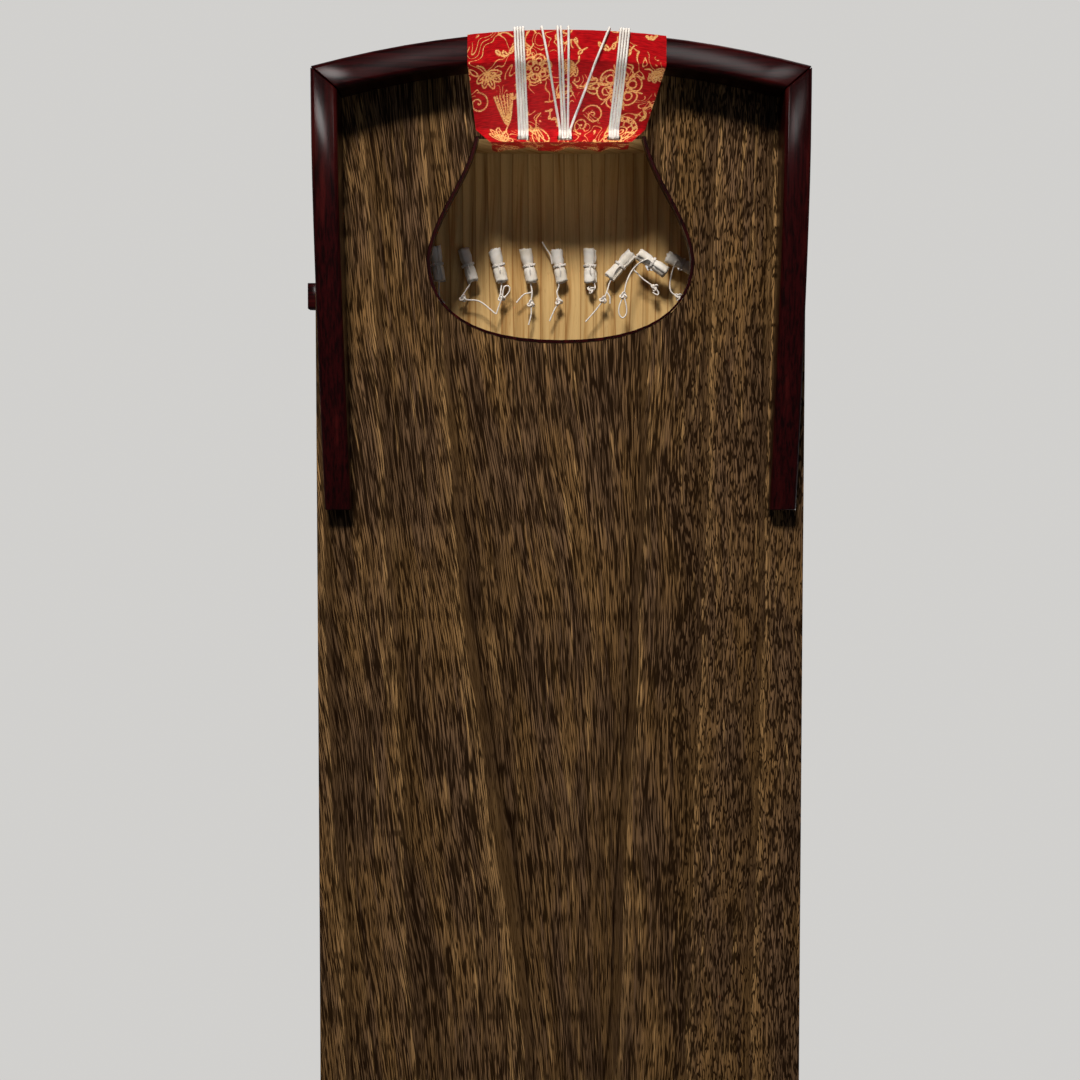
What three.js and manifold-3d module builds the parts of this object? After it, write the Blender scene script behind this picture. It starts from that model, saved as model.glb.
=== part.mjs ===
// A thirteen-string koto: a long zither with a hollow paulownia body and thirteen movable bridges.
// Millimetres. X runs along the length, tail at -X and head at +X, Y goes across, Z is up.
// The origin is on the floor, under the middle of the instrument.
import * as THREE from 'three';
import { mergeVertices } from 'three/addons/utils/BufferGeometryUtils.js';
import Module from 'manifold-3d';

const wasm = await Module();
wasm.setup();

// ---- Driving dimensions ----
const seatGap = 0.3; // between pieces that touch
const lengthSteps = 12; // facets along the body
const overLength = 8; // by which a blank is longer than the piece cut from it
const tailX = -910; // tail end of the wooden body, on the centre line
const headX = 904.2; // head end of the wooden body, behind the face plate
const facePlate = 8;
const tailWidth = 244;
const headWidth = 256;
const tailBulge = 17.5; // how far the tail end bows out over half its width
const headBulge = 7;
const tailHeight = 24; // underside of the back plate over the floor
const headHeight = 60;
const lengthwiseArch = 15;

const plateThickness = 9;
const crownHeight = 70; // top of the body over the underside of the back plate
const crownRadius = 322;
const sideHeight = 43;
const sideBulge = 3.4;
const topThickness = 14;
const sideThickness = 15;
const endBlockLength = 46.5;
const braceThickness = 10;
const braceX = [-330, 350];
const braceHole = { half: 30, radius: 14 }; // a round-ended slot that joins the chambers

const tailHole = { neckHalf: 42.3, bellyHalf: 67, bellyAt: 107, farEdge: 148.8 };
const headHole = { x: 812, halfLength: 52, halfWidth: 62 };
const bindingThickness = 1.8;
const bindingProud = { below: 0.4, above: 0.2 };
const lipRound = { back: 4, corner: 1.2, down: 5 }; // the rounded upper edge of the tail

const railWidth = 13;
const railTailInset = 1;
const railInnerInset = 5;
const railLength = 232; // from the tail end to the square end of a side rail
const railEndHeight = 10;
const railFlatLength = 60; // the part of a side rail that stands on the floor
const endRailWidth = 14;
const endRailArch = 3; // clearance under the end rail for the cloth and the strands
const edgeBreak = 1.4;
const mitreGap = 0.4;
const foot = { x: 846, y: 84, length: 26, width: 40 };

const stringCount = 13;
const middleString = 7;
const stringRadius = 0.55;
const strandRadius = 0.5;
const strandPitch = 1.33;
const tailSpacing = 16;
const headSpacing = 17;
const tailHoleX = tailX + 105;
const headHoleX = 823;
const stringHoleRadius = 2.8;
const tailBridge = { x: tailX + 121.9, width: 13.4, height: 11, from: -127.2, to: 130.8 };
const headBridge = { x: 805, width: 16, height: 14, from: -130.8, to: 130.8 };

// Distance from the head bridge to each movable bridge, from the speaking length of each string.
const speakingLength = [888, 1330, 1185, 1118, 888, 838, 665, 592, 559, 444, 419, 332, 296];
const bridge = { height: 52, halfSpan: 22, foot: 12, top: 3.2, sunk: 14 };

const clothThickness = 0.7;
const clothOffset = 0.35;
const clothHalfWidth = { full: 48, neck: 42, crease: 35, flap: 34.5 };
const slit = { width: 2, spare: 2.2, height: 4.4 }; // lets a bundle through the cloth at its crease
const flapHeight = 25;
const flapClearance = 2.05; // room behind the flap for the tucked ends of the strands
const strandOffset = 1.9;

// The spare lengths of string, gathered in three bundles: where each strand crosses the lip of the
// tail and where it tucks in at the edge of the sound hole.
const bundles = [
  { name: 'spare_strands_left', first: 1, lip: evenBand(20.4, 4), crease: evenBand(18.5, 4) },
  { name: 'spare_strands_centre', first: 5, lip: [9.4, 1.8, 0.2, -3.6, -23.4], crease: evenBand(-2.2, 5) },
  { name: 'spare_strands_right', first: 10, lip: evenBand(-30.8, 4), crease: evenBand(-26.3, 4) },
];
const tie = { width: 1.5, height: 2.5, above: 6 }; // holds a bundle behind the flap

const rollLength = 18.5;
const rollRadius = 3.6;
const rollWaist = { half: 1.6, radius: 2.9 };
// Tilt of each roll in degrees and how far it hangs below the top, as they settle by hand.
const rollLie = [
  { turn: -6, drop: 1.5 },
  { turn: 9, drop: 0 },
  { turn: -8, drop: 0 },
  { turn: -17, drop: 0 },
  { turn: -14, drop: 0 },
  { turn: -12, drop: 0 },
  { turn: -10, drop: 0 },
  { turn: -1, drop: 0 },
  { turn: 43, drop: 0 },
  { turn: -56, drop: 7.6 },
  { turn: -63, drop: 0 },
  { turn: -12, drop: 0 },
  { turn: 6, drop: 1.5 },
];

const tongue = { z: 40, halfWidth: 62, halfHeight: 15, proud: 2.5 };
const leaf = { from: 34, to: 97, half: 112, lobes: 4, scallop: 9, swell: 14, thickness: 1 };
const knot = { radius: 3, length: 14, drop: 4 };

// ---- The curved form that everything sits on ----
const crownCentre = crownHeight - crownRadius;
const tailArcRadius = ((tailWidth / 2) ** 2 + tailBulge ** 2) / (2 * tailBulge);
const headArcRadius = ((headWidth / 2) ** 2 + headBulge ** 2) / (2 * headBulge);
const wallX = tailX + endBlockLength;

function widthScale(x) {
  const along = (x - tailX) / (headX - tailX);
  return (tailWidth + (headWidth - tailWidth) * along) / tailWidth;
}

// Height of the underside of the back plate over the floor.
function backZ(x) {
  const along = (x - tailX) / (2 * -tailX);
  const arch = lengthwiseArch * (1 - (x / tailX) ** 2);
  return tailHeight + (headHeight - tailHeight) * along + arch;
}

function topZ(x, y) {
  const v = y / widthScale(x);
  return backZ(x) + crownCentre + Math.sqrt(crownRadius ** 2 - v * v);
}

function cavityTopZ(x, y) {
  const v = y / widthScale(x);
  return backZ(x) + crownCentre + Math.sqrt((crownRadius - topThickness) ** 2 - v * v);
}

function tailEndX(y, inset = 0) {
  return tailX + tailArcRadius - Math.sqrt((tailArcRadius - inset) ** 2 - y * y);
}

function stringY(number, x) {
  const along = (x - tailBridge.x) / (headBridge.x - tailBridge.x);
  return (middleString - number) * (tailSpacing + (headSpacing - tailSpacing) * along);
}

const mix = (a, b, t) => a + (b - a) * t;

// ---- Solid modelling helpers ----
function toSolid(geometry) {
  const bare = new THREE.BufferGeometry();
  bare.setAttribute('position', geometry.getAttribute('position'));
  if (geometry.index) {
    bare.setIndex(geometry.index);
  }
  const merged = mergeVertices(bare, 1e-4);
  const vertProperties = new Float32Array(merged.getAttribute('position').array);
  const triVerts = new Uint32Array(merged.index.array);
  return new wasm.Manifold(new wasm.Mesh({ numProp: 3, vertProperties, triVerts }));
}

function toGeometry(solid) {
  const mesh = solid.getMesh();
  const geometry = new THREE.BufferGeometry();
  geometry.setAttribute('position', new THREE.BufferAttribute(new Float32Array(mesh.vertProperties), 3));
  geometry.setIndex(new THREE.BufferAttribute(new Uint32Array(mesh.triVerts), 1));
  geometry.computeVertexNormals();
  return geometry;
}

// A cross-section drawn in Y and Z, extruded along X.
function alongLength(shape, from, to, steps, curveSegments = 5) {
  const settings = { depth: to - from, steps, bevelEnabled: false, curveSegments };
  const geometry = new THREE.ExtrudeGeometry(shape, settings);
  const turn = new THREE.Matrix4().makeBasis(
    new THREE.Vector3(0, 1, 0),
    new THREE.Vector3(0, 0, 1),
    new THREE.Vector3(1, 0, 0),
  );
  return geometry.applyMatrix4(turn).translate(from, 0, 0);
}

// A plan outline drawn in X and Y, extruded upwards.
function upright(shape, from, to, curveSegments = 10) {
  const settings = { depth: to - from, bevelEnabled: false, curveSegments };
  return new THREE.ExtrudeGeometry(shape, settings).translate(0, 0, from);
}

// Bends a straight board piece to the body's taper and lengthwise arch.
function seat(geometry) {
  const position = geometry.getAttribute('position');
  for (let i = 0; i < position.count; i += 1) {
    const x = position.getX(i);
    position.setY(i, position.getY(i) * widthScale(x));
    position.setZ(i, position.getZ(i) + backZ(x));
  }
  return geometry;
}

// A closed body through rings of points, all with the same number of points.
function loft(rings) {
  const count = rings[0].length;
  const points = rings.flat();
  const index = [];
  for (let r = 0; r < rings.length - 1; r += 1) {
    for (let k = 0; k < count; k += 1) {
      const a = r * count + k;
      const b = r * count + ((k + 1) % count);
      index.push(a, b, b + count, a, b + count, a + count);
    }
  }
  const last = (rings.length - 1) * count;
  for (let k = 1; k < count - 1; k += 1) {
    index.push(0, k + 1, k, last, last + k, last + k + 1);
  }
  return facingOut(new THREE.BufferGeometry().setFromPoints(points).setIndex(index));
}

// A sheet of even thickness between two grids of points.
function sheet(lower, upper) {
  const rows = lower.length;
  const columns = lower[0].length;
  const size = rows * columns;
  const index = [];
  const quad = (a, b, c, d) => index.push(a, b, c, a, c, d);
  for (let r = 0; r < rows - 1; r += 1) {
    for (let c = 0; c < columns - 1; c += 1) {
      const a = r * columns + c;
      quad(a, a + columns, a + columns + 1, a + 1);
      quad(size + a, size + a + 1, size + a + columns + 1, size + a + columns);
    }
    const left = r * columns;
    const right = left + columns - 1;
    quad(left, size + left, size + left + columns, left + columns);
    quad(right, right + columns, size + right + columns, size + right);
  }
  for (let c = 0; c < columns - 1; c += 1) {
    const end = (rows - 1) * columns + c;
    quad(c, c + 1, size + c + 1, size + c);
    quad(end, size + end, size + end + 1, end + 1);
  }
  const points = [...lower.flat(), ...upper.flat()];
  return facingOut(new THREE.BufferGeometry().setFromPoints(points).setIndex(index));
}

function facingOut(geometry) {
  const position = geometry.getAttribute('position');
  const index = geometry.index.array;
  const a = new THREE.Vector3();
  const b = new THREE.Vector3();
  const c = new THREE.Vector3();
  let volume = 0;
  for (let i = 0; i < index.length; i += 3) {
    a.fromBufferAttribute(position, index[i]);
    b.fromBufferAttribute(position, index[i + 1]);
    c.fromBufferAttribute(position, index[i + 2]);
    volume += a.dot(b.cross(c));
  }
  if (volume < 0) {
    for (let i = 0; i < index.length; i += 3) {
      [index[i], index[i + 1]] = [index[i + 1], index[i]];
    }
  }
  geometry.computeVertexNormals();
  return geometry;
}

// A cord's route, with one step of the extrusion for each point of its list.
class Route extends THREE.Curve {
  constructor(points) {
    super();
    this.points = points;
  }

  getUtoTmapping(u) {
    return u;
  }

  getPoint(t, target = new THREE.Vector3()) {
    const last = this.points.length - 1;
    const k = Math.min(Math.floor(t * last + 1e-6), last - 1);
    return target.lerpVectors(this.points[k], this.points[k + 1], t * last - k);
  }

  getTangent(t, target = new THREE.Vector3()) {
    const last = this.points.length - 1;
    const k = Math.round(t * last);
    target.set(0, 0, 0);
    if (k > 0) {
      target.add(this.points[k].clone().sub(this.points[k - 1]).normalize());
    }
    if (k < last) {
      target.add(this.points[k + 1].clone().sub(this.points[k]).normalize());
    }
    return target.normalize();
  }
}

function cord(points, radius, sides) {
  const section = new THREE.Shape();
  for (let k = 0; k < sides; k += 1) {
    const angle = (2 * Math.PI * k) / sides;
    section[k ? 'lineTo' : 'moveTo'](radius * Math.cos(angle), radius * Math.sin(angle));
  }
  section.closePath();
  const settings = { extrudePath: new Route(points), steps: points.length - 1, bevelEnabled: false };
  return new THREE.ExtrudeGeometry(section, settings);
}

// ---- Cross-sections and outlines of the body ----
function bodySection(grow = 0) {
  const half = tailWidth / 2 + grow;
  const radius = crownRadius + grow;
  const shoulder = half - 6;
  const shoulderZ = crownCentre + Math.sqrt(radius ** 2 - shoulder ** 2);
  const angle = Math.asin(shoulder / radius);
  const rimZ = plateThickness + seatGap;
  const section = new THREE.Shape();
  section.moveTo(-half, rimZ);
  section.quadraticCurveTo(-half - sideBulge, (rimZ + sideHeight) / 2, -half, sideHeight);
  section.quadraticCurveTo(-half + 0.8, shoulderZ - 1.5, -shoulder, shoulderZ);
  section.absarc(0, crownCentre, radius, Math.PI / 2 + angle, Math.PI / 2 - angle, true);
  section.quadraticCurveTo(half - 0.8, shoulderZ - 1.5, half, sideHeight);
  section.quadraticCurveTo(half + sideBulge, (rimZ + sideHeight) / 2, half, rimZ);
  section.closePath();
  return section;
}

function cavitySection(inset, floorZ) {
  const half = tailWidth / 2 - sideThickness - inset;
  const radius = crownRadius - topThickness - inset;
  const shoulder = half - 9;
  const shoulderZ = crownCentre + Math.sqrt(radius ** 2 - shoulder ** 2);
  const angle = Math.asin(shoulder / radius);
  const section = new THREE.Shape();
  section.moveTo(-half, floorZ);
  section.lineTo(-half, shoulderZ - 10);
  section.quadraticCurveTo(-half + 0.6, shoulderZ - 2.4, -shoulder, shoulderZ);
  section.absarc(0, crownCentre, radius, Math.PI / 2 + angle, Math.PI / 2 - angle, true);
  section.quadraticCurveTo(half - 0.6, shoulderZ - 2.4, half, shoulderZ - 10);
  section.lineTo(half, floorZ);
  section.closePath();
  return section;
}

function plateSection(from, to) {
  const section = new THREE.Shape();
  section.moveTo(-tailWidth / 2, from);
  section.lineTo(tailWidth / 2, from);
  section.lineTo(tailWidth / 2, to);
  section.lineTo(-tailWidth / 2, to);
  section.closePath();
  return section;
}

// Plan outline with the bowed tail and head ends, wider than the body.
function endTrim(headEnd) {
  const overWidth = 140;
  const tailAngle = Math.asin(overWidth / tailArcRadius);
  const headAngle = Math.asin(overWidth / headArcRadius);
  const outline = new THREE.Shape();
  outline.absarc(tailX + tailArcRadius, 0, tailArcRadius, Math.PI - tailAngle, Math.PI + tailAngle, false);
  outline.absarc(headEnd - headArcRadius, 0, headArcRadius, -headAngle, headAngle, false);
  outline.closePath();
  return toSolid(upright(outline, -20, 240, 8));
}

// The bottle-shaped sound hole under the tail: narrow neck at the end block, broad round belly.
function tailHoleCurve(inset) {
  const neck = tailHole.neckHalf - inset;
  const belly = tailHole.bellyHalf - inset;
  const far = tailX + tailHole.farEdge - inset;
  const widest = tailX + tailHole.bellyAt;
  return { neck, belly, far, widest, neckX: wallX };
}

function traceTailHole(path, inset) {
  const c = tailHoleCurve(inset);
  path.moveTo(c.neckX, -c.neck);
  path.bezierCurveTo(c.neckX + 22, -c.neck - 4.4, c.widest - 21, -c.belly + 2, c.widest, -c.belly);
  path.bezierCurveTo(c.widest + 25, -c.belly, c.far, -45, c.far, 0);
  path.bezierCurveTo(c.far, 45, c.widest + 25, c.belly, c.widest, c.belly);
  path.bezierCurveTo(c.widest - 21, c.belly - 2, c.neckX + 22, c.neck + 4.4, c.neckX, c.neck);
}

function traceHeadHole(path, inset) {
  path.absellipse(headHole.x, 0, headHole.halfLength - inset, headHole.halfWidth - inset, 0, 2 * Math.PI);
}

// What is taken off the upper edge of the tail end, so that cloth and strands pass over it.
function lipCutter() {
  const rings = [];
  const stations = 24;
  for (let k = 0; k <= stations; k += 1) {
    const y = mix(-132, 132, k / stations);
    const endX = tailEndX(y);
    const lipZ = topZ(endX, y);
    rings.push([
      new THREE.Vector3(endX - 4, y, lipZ + 5),
      new THREE.Vector3(endX - 4, y, lipZ - lipRound.down),
      new THREE.Vector3(endX, y, lipZ - lipRound.down),
      new THREE.Vector3(endX + lipRound.corner, y, lipZ - lipRound.corner),
      new THREE.Vector3(endX + lipRound.back, y, lipZ),
      new THREE.Vector3(endX + lipRound.back, y, lipZ + 5),
    ]);
  }
  return toSolid(loft(rings));
}

function makeBody() {
  const from = tailX - overLength;
  const to = headX + overLength;
  const trim = endTrim(headX);
  const section = (shape) => toSolid(seat(alongLength(shape, from, to, lengthSteps)));
  let shell = section(bodySection()).subtract(section(cavitySection(0, 0)));
  shell = shell.intersect(trim).subtract(lipCutter());
  for (let number = 1; number <= stringCount; number += 1) {
    for (const x of [tailHoleX, headHoleX]) {
      const hole = new THREE.CylinderGeometry(stringHoleRadius, stringHoleRadius, 60, 6);
      hole.rotateX(Math.PI / 2).translate(x, stringY(number, x), backZ(x) + crownHeight - 10);
      shell = shell.subtract(toSolid(hole));
    }
  }

  const tailOpening = new THREE.Shape();
  traceTailHole(tailOpening, 0);
  const headOpening = new THREE.Shape();
  traceHeadHole(headOpening, 0);
  const backPlate = section(plateSection(0, plateThickness))
    .intersect(trim)
    .subtract(toSolid(upright(tailOpening, 0, 120, 10)))
    .subtract(toSolid(upright(headOpening, 0, 140, 16)));

  const filling = section(cavitySection(seatGap, plateThickness + seatGap)).intersect(trim);
  const slab = (x0, x1) => {
    const box = new THREE.BoxGeometry(x1 - x0, 300, 300);
    return filling.intersect(toSolid(box.translate((x0 + x1) / 2, 0, 100)));
  };
  const tailBlock = slab(tailX - overLength, wallX);
  const headBlock = slab(headX - 40, headX + overLength);
  const braces = braceX.map((x) => {
    const midZ = backZ(x) + (plateThickness + crownHeight - topThickness) / 2;
    const slot = new THREE.Shape();
    slot.absarc(braceHole.half, midZ, braceHole.radius, -Math.PI / 2, Math.PI / 2, false);
    slot.absarc(-braceHole.half, midZ, braceHole.radius, Math.PI / 2, (3 * Math.PI) / 2, false);
    slot.closePath();
    const cutter = toSolid(alongLength(slot, x - braceThickness, x + braceThickness, 1));
    return slab(x - braceThickness / 2, x + braceThickness / 2).subtract(cutter);
  });
  return { shell, backPlate, tailBlock, headBlock, braces };
}

// A strip of hardwood that lines the edge of a sound hole, a little proud of the plate on both sides.
function makeBinding(trace, rimZ, open) {
  const from = rimZ - 2 * plateThickness;
  const to = rimZ + 3 * plateThickness;
  const outline = new THREE.Shape();
  const cut = new THREE.Shape();
  trace(outline, seatGap);
  trace(cut, bindingThickness);
  const band = plateSection(-bindingProud.below, plateThickness + bindingProud.above);
  const rim = toSolid(seat(alongLength(band, tailX - overLength, headX + overLength, lengthSteps)));
  let ring = toSolid(upright(outline, from, to, 12)).subtract(toSolid(upright(cut, from - 5, to + 5, 12)));
  if (open) {
    const neck = new THREE.BoxGeometry(12, 2 * (tailHole.neckHalf - bindingThickness), 200);
    const clear = new THREE.BoxGeometry(4, 200, 200).translate(wallX - 1.5, 0, from);
    ring = ring.subtract(toSolid(neck.translate(wallX, 0, from))).subtract(toSolid(clear));
  }
  return ring.intersect(rim);
}

// ---- Feet ----
function railBottomZ(x) {
  const along = (x - tailX - railFlatLength) / (railLength - railFlatLength);
  const rise = backZ(tailX + railLength) - railEndHeight;
  return rise * Math.max(0, along) ** 1.3;
}

// One ring of a rail, from the outer to the inner plan point, with its lower edges broken.
function railRing(outer, inner, bottomZ) {
  const at = (t, z) => new THREE.Vector3(mix(outer.x, inner.x, t), mix(outer.y, inner.y, t), z);
  const breakShare = edgeBreak / railWidth;
  const top = (p) => backZ(p.x) - seatGap;
  return [
    at(0, top(outer)),
    at(0, bottomZ + edgeBreak),
    at(breakShare, bottomZ),
    at(1 - breakShare, bottomZ),
    at(1, bottomZ + edgeBreak),
    at(1, top(inner)),
  ];
}

const railOuterHalf = tailWidth / 2 - railTailInset;
const railInnerHalf = railOuterHalf - railWidth;

function makeEndRail() {
  const rings = [];
  const stations = 16;
  for (let k = 0; k <= stations; k += 1) {
    const t = (2 * k) / stations - 1;
    const outer = { x: tailEndX(railOuterHalf * t), y: railOuterHalf * t };
    const inner = { x: tailEndX(railInnerHalf * t, endRailWidth), y: railInnerHalf * t };
    rings.push(railRing(outer, inner, endRailArch * (1 - t ** 4)));
  }
  return loft(rings);
}

function makeSideRail(side) {
  const rings = [];
  const stations = 12;
    for (let k = 0; k <= stations; k += 1) {
    const t = (k / stations) ** 1.25;
    const end = tailX + railLength;
    const outerX = mix(tailEndX(railOuterHalf) + mitreGap, end, t);
    const innerX = mix(tailEndX(railInnerHalf, endRailWidth) + mitreGap, end, t);
    const inset = (railInnerInset - railTailInset) * t ** 1.3;
    const outer = { x: outerX, y: side * (railOuterHalf - inset) * widthScale(outerX) };
    const inner = { x: innerX, y: side * (railInnerHalf - inset) * widthScale(innerX) };
    rings.push(railRing(outer, inner, railBottomZ(Math.min(outerX, innerX))));
  }
  return loft(rings);
}

function makeHeadFoot() {
  const levels = [
    { z: 0, scale: 0.86 },
    { z: 2.5, scale: 0.94 },
    { z: 16, scale: 0.84 },
    { z: 40, scale: 0.9 },
    { z: 100, scale: 1.1 },
  ];
  const corners = 16;
  const rings = levels.map(({ z, scale }) => {
    const ring = [];
    for (let k = 0; k < corners; k += 1) {
      const angle = (2 * Math.PI * (k + 0.5)) / corners;
      const squared = (v) => Math.sign(v) * Math.abs(v) ** 0.45;
      const x = (foot.length / 2) * scale * squared(Math.cos(angle));
      const y = (foot.width / 2) * scale * squared(Math.sin(angle));
      const ceiling = backZ(foot.x + x) - seatGap;
      ring.push(new THREE.Vector3(x, y, Math.min(z, ceiling)));
    }
    return ring;
  });
  return loft(rings);
}

// The plate that closes the head, with the raised tongue across its middle.
function makeHeadFace() {
  const from = headX + seatGap - headBulge - 4;
  const to = headX + seatGap + facePlate;
  const plate = toSolid(seat(alongLength(bodySection(), from, to, 1)));
  const outerTrim = endTrim(headX + seatGap + facePlate - tongue.proud);
  const innerTrim = endTrim(headX + seatGap);
  const oval = new THREE.Shape();
  oval.absellipse(0, tongue.z, tongue.halfWidth, tongue.halfHeight, 0, 2 * Math.PI);
  const raised = toSolid(seat(alongLength(oval, from, to + 2, 1, 10)));
  const fullTrim = endTrim(headX + seatGap + facePlate);
  return plate.intersect(outerTrim).add(raised.intersect(fullTrim)).subtract(innerTrim);
}

// ---- Fixed bridges, leaf plate ----
function grownBody(grow) {
  return toSolid(seat(alongLength(bodySection(grow), tailX - overLength, headX + overLength, lengthSteps)));
}

function makeFixedBridge(spec) {
  const rings = [];
  const stations = 14;
  const lowZ = backZ(spec.x) + 37;
  for (let k = 0; k <= stations; k += 1) {
    const y = mix(spec.from, spec.to, k / stations);
    const rounding = k === 0 || k === stations ? 0.72 : 1;
    const crest = spec.height * rounding;
    const base = topZ(spec.x, y);
    const at = (dx, z) => new THREE.Vector3(spec.x + dx * spec.width, y, z);
    rings.push([
      at(-0.5, lowZ),
      at(-0.5, base + 0.4 * crest),
      at(-0.36, base + 0.8 * crest),
      at(-0.16, base + crest),
      at(0.16, base + crest),
      at(0.36, base + 0.8 * crest),
      at(0.5, base + 0.4 * crest),
      at(0.5, lowZ),
    ]);
  }
  return toSolid(loft(rings)).subtract(grownBody(seatGap));
}

// The lobed plate on top of the tail, between the lip and the string holes.
function makeLeafPlate() {
  const outline = new THREE.Shape();
  const left = tailX + leaf.from;
  const right = tailX + leaf.to;
  const middle = leaf.half / 2;
  outline.moveTo(left, -leaf.half);
  outline.lineTo(right, -leaf.half);
  for (let k = 0; k < leaf.lobes; k += 1) {
    const y = mix(-leaf.half, leaf.half, k / leaf.lobes);
    const next = mix(-leaf.half, leaf.half, (k + 1) / leaf.lobes);
    outline.quadraticCurveTo(right - leaf.scallop, (y + next) / 2, right, next);
  }
  outline.lineTo(left, leaf.half);
  outline.quadraticCurveTo(left - leaf.swell, 0.7 * leaf.half, left, middle);
  outline.lineTo(left, -middle);
  outline.quadraticCurveTo(left - leaf.swell, -0.7 * leaf.half, left, -leaf.half);
  const prism = toSolid(upright(outline, 20, 200, 5));
  const skin = grownBody(seatGap + leaf.thickness).subtract(grownBody(seatGap));
  return skin.intersect(prism);
}

// ---- Tail cloth and what runs over it ----
// Route round the tail at one distance across: over the lip, down the end, under the end rail,
// up to the edge of the sound hole. The offset is the distance off the wood.
function wrapRoute(y, offset) {
  const endX = tailEndX(y);
  const railZ = endRailArch * (1 - (y / railOuterHalf) ** 4);
  const lipZ = topZ(endX, y);
  const railInnerX = tailEndX(y, endRailWidth);
  const creaseX = wallX + flapClearance + offset;
  const creaseZ = backZ(wallX) - clothOffset - offset;
  const corner = 0.7 * offset;
  const route = [
    [endX + 30, topZ(endX + 30, y) + offset],
    [endX + 17, topZ(endX + 17, y) + offset],
    [endX + lipRound.back, lipZ + offset],
    [endX + lipRound.corner - corner, lipZ - lipRound.corner + corner],
    [endX - offset, lipZ - lipRound.down],
    [endX - offset, (lipZ + railZ) / 2],
    [endX - offset, railZ + 3.5],
    [endX + 0.1 - corner, railZ + 0.1 - corner],
    [endX + 3.5, railZ - offset],
    [railInnerX, railZ - offset],
  ];
  for (const t of [0.33, 0.66, 1]) {
    const x = mix(railInnerX, wallX - 3, t);
    route.push([x, mix(railZ - offset, creaseZ, t)]);
  }
  return { route, creaseX, creaseZ };
}

function makeCloth() {
  const columns = 8;
  const w = clothHalfWidth;
  const widths = [...Array(10).fill(w.full), mix(w.full, w.neck, 0.33), mix(w.full, w.neck, 0.66), w.neck];
  const side = (offset) => {
    const grid = [];
    const rows = widths.length + 3;
    for (let r = 0; r < rows; r += 1) {
      const row = [];
      const half = widths[r] ?? (r === widths.length ? w.crease : w.flap);
      for (let c = 0; c <= columns; c += 1) {
        const y = half * ((2 * c) / columns - 1);
        const { route, creaseX, creaseZ } = wrapRoute(y, offset);
        const folded = [
          [creaseX, creaseZ],
          [creaseX, backZ(wallX) + 8],
          [creaseX, backZ(wallX) + flapHeight],
        ];
        const [x, z] = r < route.length ? route[r] : folded[r - route.length];
        row.push(new THREE.Vector3(x, y, z));
      }
      grid.push(row);
    }
    return grid;
  };
  let cloth = toSolid(sheet(side(clothOffset), side(clothOffset + clothThickness)));
  for (const bundle of bundles) {
    const first = bundle.crease[0];
    const last = bundle.crease[bundle.crease.length - 1];
    const cutter = new THREE.BoxGeometry(slit.width, Math.abs(last - first) + slit.spare, slit.height);
    cutter.translate(wallX + 1.3, (first + last) / 2, backZ(wallX) - 1);
    cloth = cloth.subtract(toSolid(cutter));
  }
  return cloth;
}

// The thirteen spare lengths of string, gathered into three bundles over the cloth.
function evenBand(centre, count) {
  return Array.from({ length: count }, (_, k) => centre + strandPitch * ((count - 1) / 2 - k));
}

function strandRoute(bundle, k) {
  const number = bundle.first + k;
  const holeY = stringY(number, tailHoleX);
  const lipY = bundle.lip[k];
  const creaseY = bundle.crease[k];
  const holeX = tailHoleX - 1.25;
  const points = [
    new THREE.Vector3(holeX, holeY, topZ(holeX, holeY) - 10),
    new THREE.Vector3(holeX, holeY, topZ(holeX, holeY) + 0.6),
    new THREE.Vector3(holeX - 2.5, holeY, topZ(holeX, holeY) + strandOffset),
  ];
  const wrap = wrapRoute(lipY, strandOffset).route;
  const lipX = wrap[2][0];
  for (const t of [0.35, 0.7]) {
    const x = mix(holeX - 2.5, lipX, t);
    const y = mix(holeY, lipY, t);
    points.push(new THREE.Vector3(x, y, topZ(x, y) + strandOffset));
  }
  for (let r = 2; r < 10; r += 1) {
    points.push(new THREE.Vector3(wrap[r][0], lipY, wrap[r][1]));
  }
  const under = wrapRoute(creaseY, strandOffset).route;
  for (let r = 10; r < 13; r += 1) {
    const t = (r - 9) / 3;
    points.push(new THREE.Vector3(under[r][0], mix(lipY, creaseY, t), under[r][1]));
  }
  const tuckX = wallX + 1.25;
  points.push(new THREE.Vector3(tuckX - 1, creaseY, backZ(wallX) - clothOffset - strandOffset));
  points.push(new THREE.Vector3(tuckX, creaseY, backZ(wallX) - 0.8));
  points.push(new THREE.Vector3(tuckX, creaseY, backZ(wallX) + 7));
  return points;
}

function makeBundle(bundle) {
  const first = bundle.crease[0];
  const last = bundle.crease[bundle.crease.length - 1];
  const band = new THREE.BoxGeometry(tie.width, Math.abs(last - first) + 1.6, tie.height);
  band.translate(wallX + 1.25, (first + last) / 2, backZ(wallX) + tie.above);
  let solid = toSolid(band);
  for (let k = 0; k < bundle.lip.length; k += 1) {
    solid = solid.add(toSolid(cord(strandRoute(bundle, k), strandRadius, 5)));
  }
  return solid;
}

// ---- Strings and movable bridges ----
function bridgeX(number) {
  return headBridge.x - speakingLength[number - 1];
}

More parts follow.
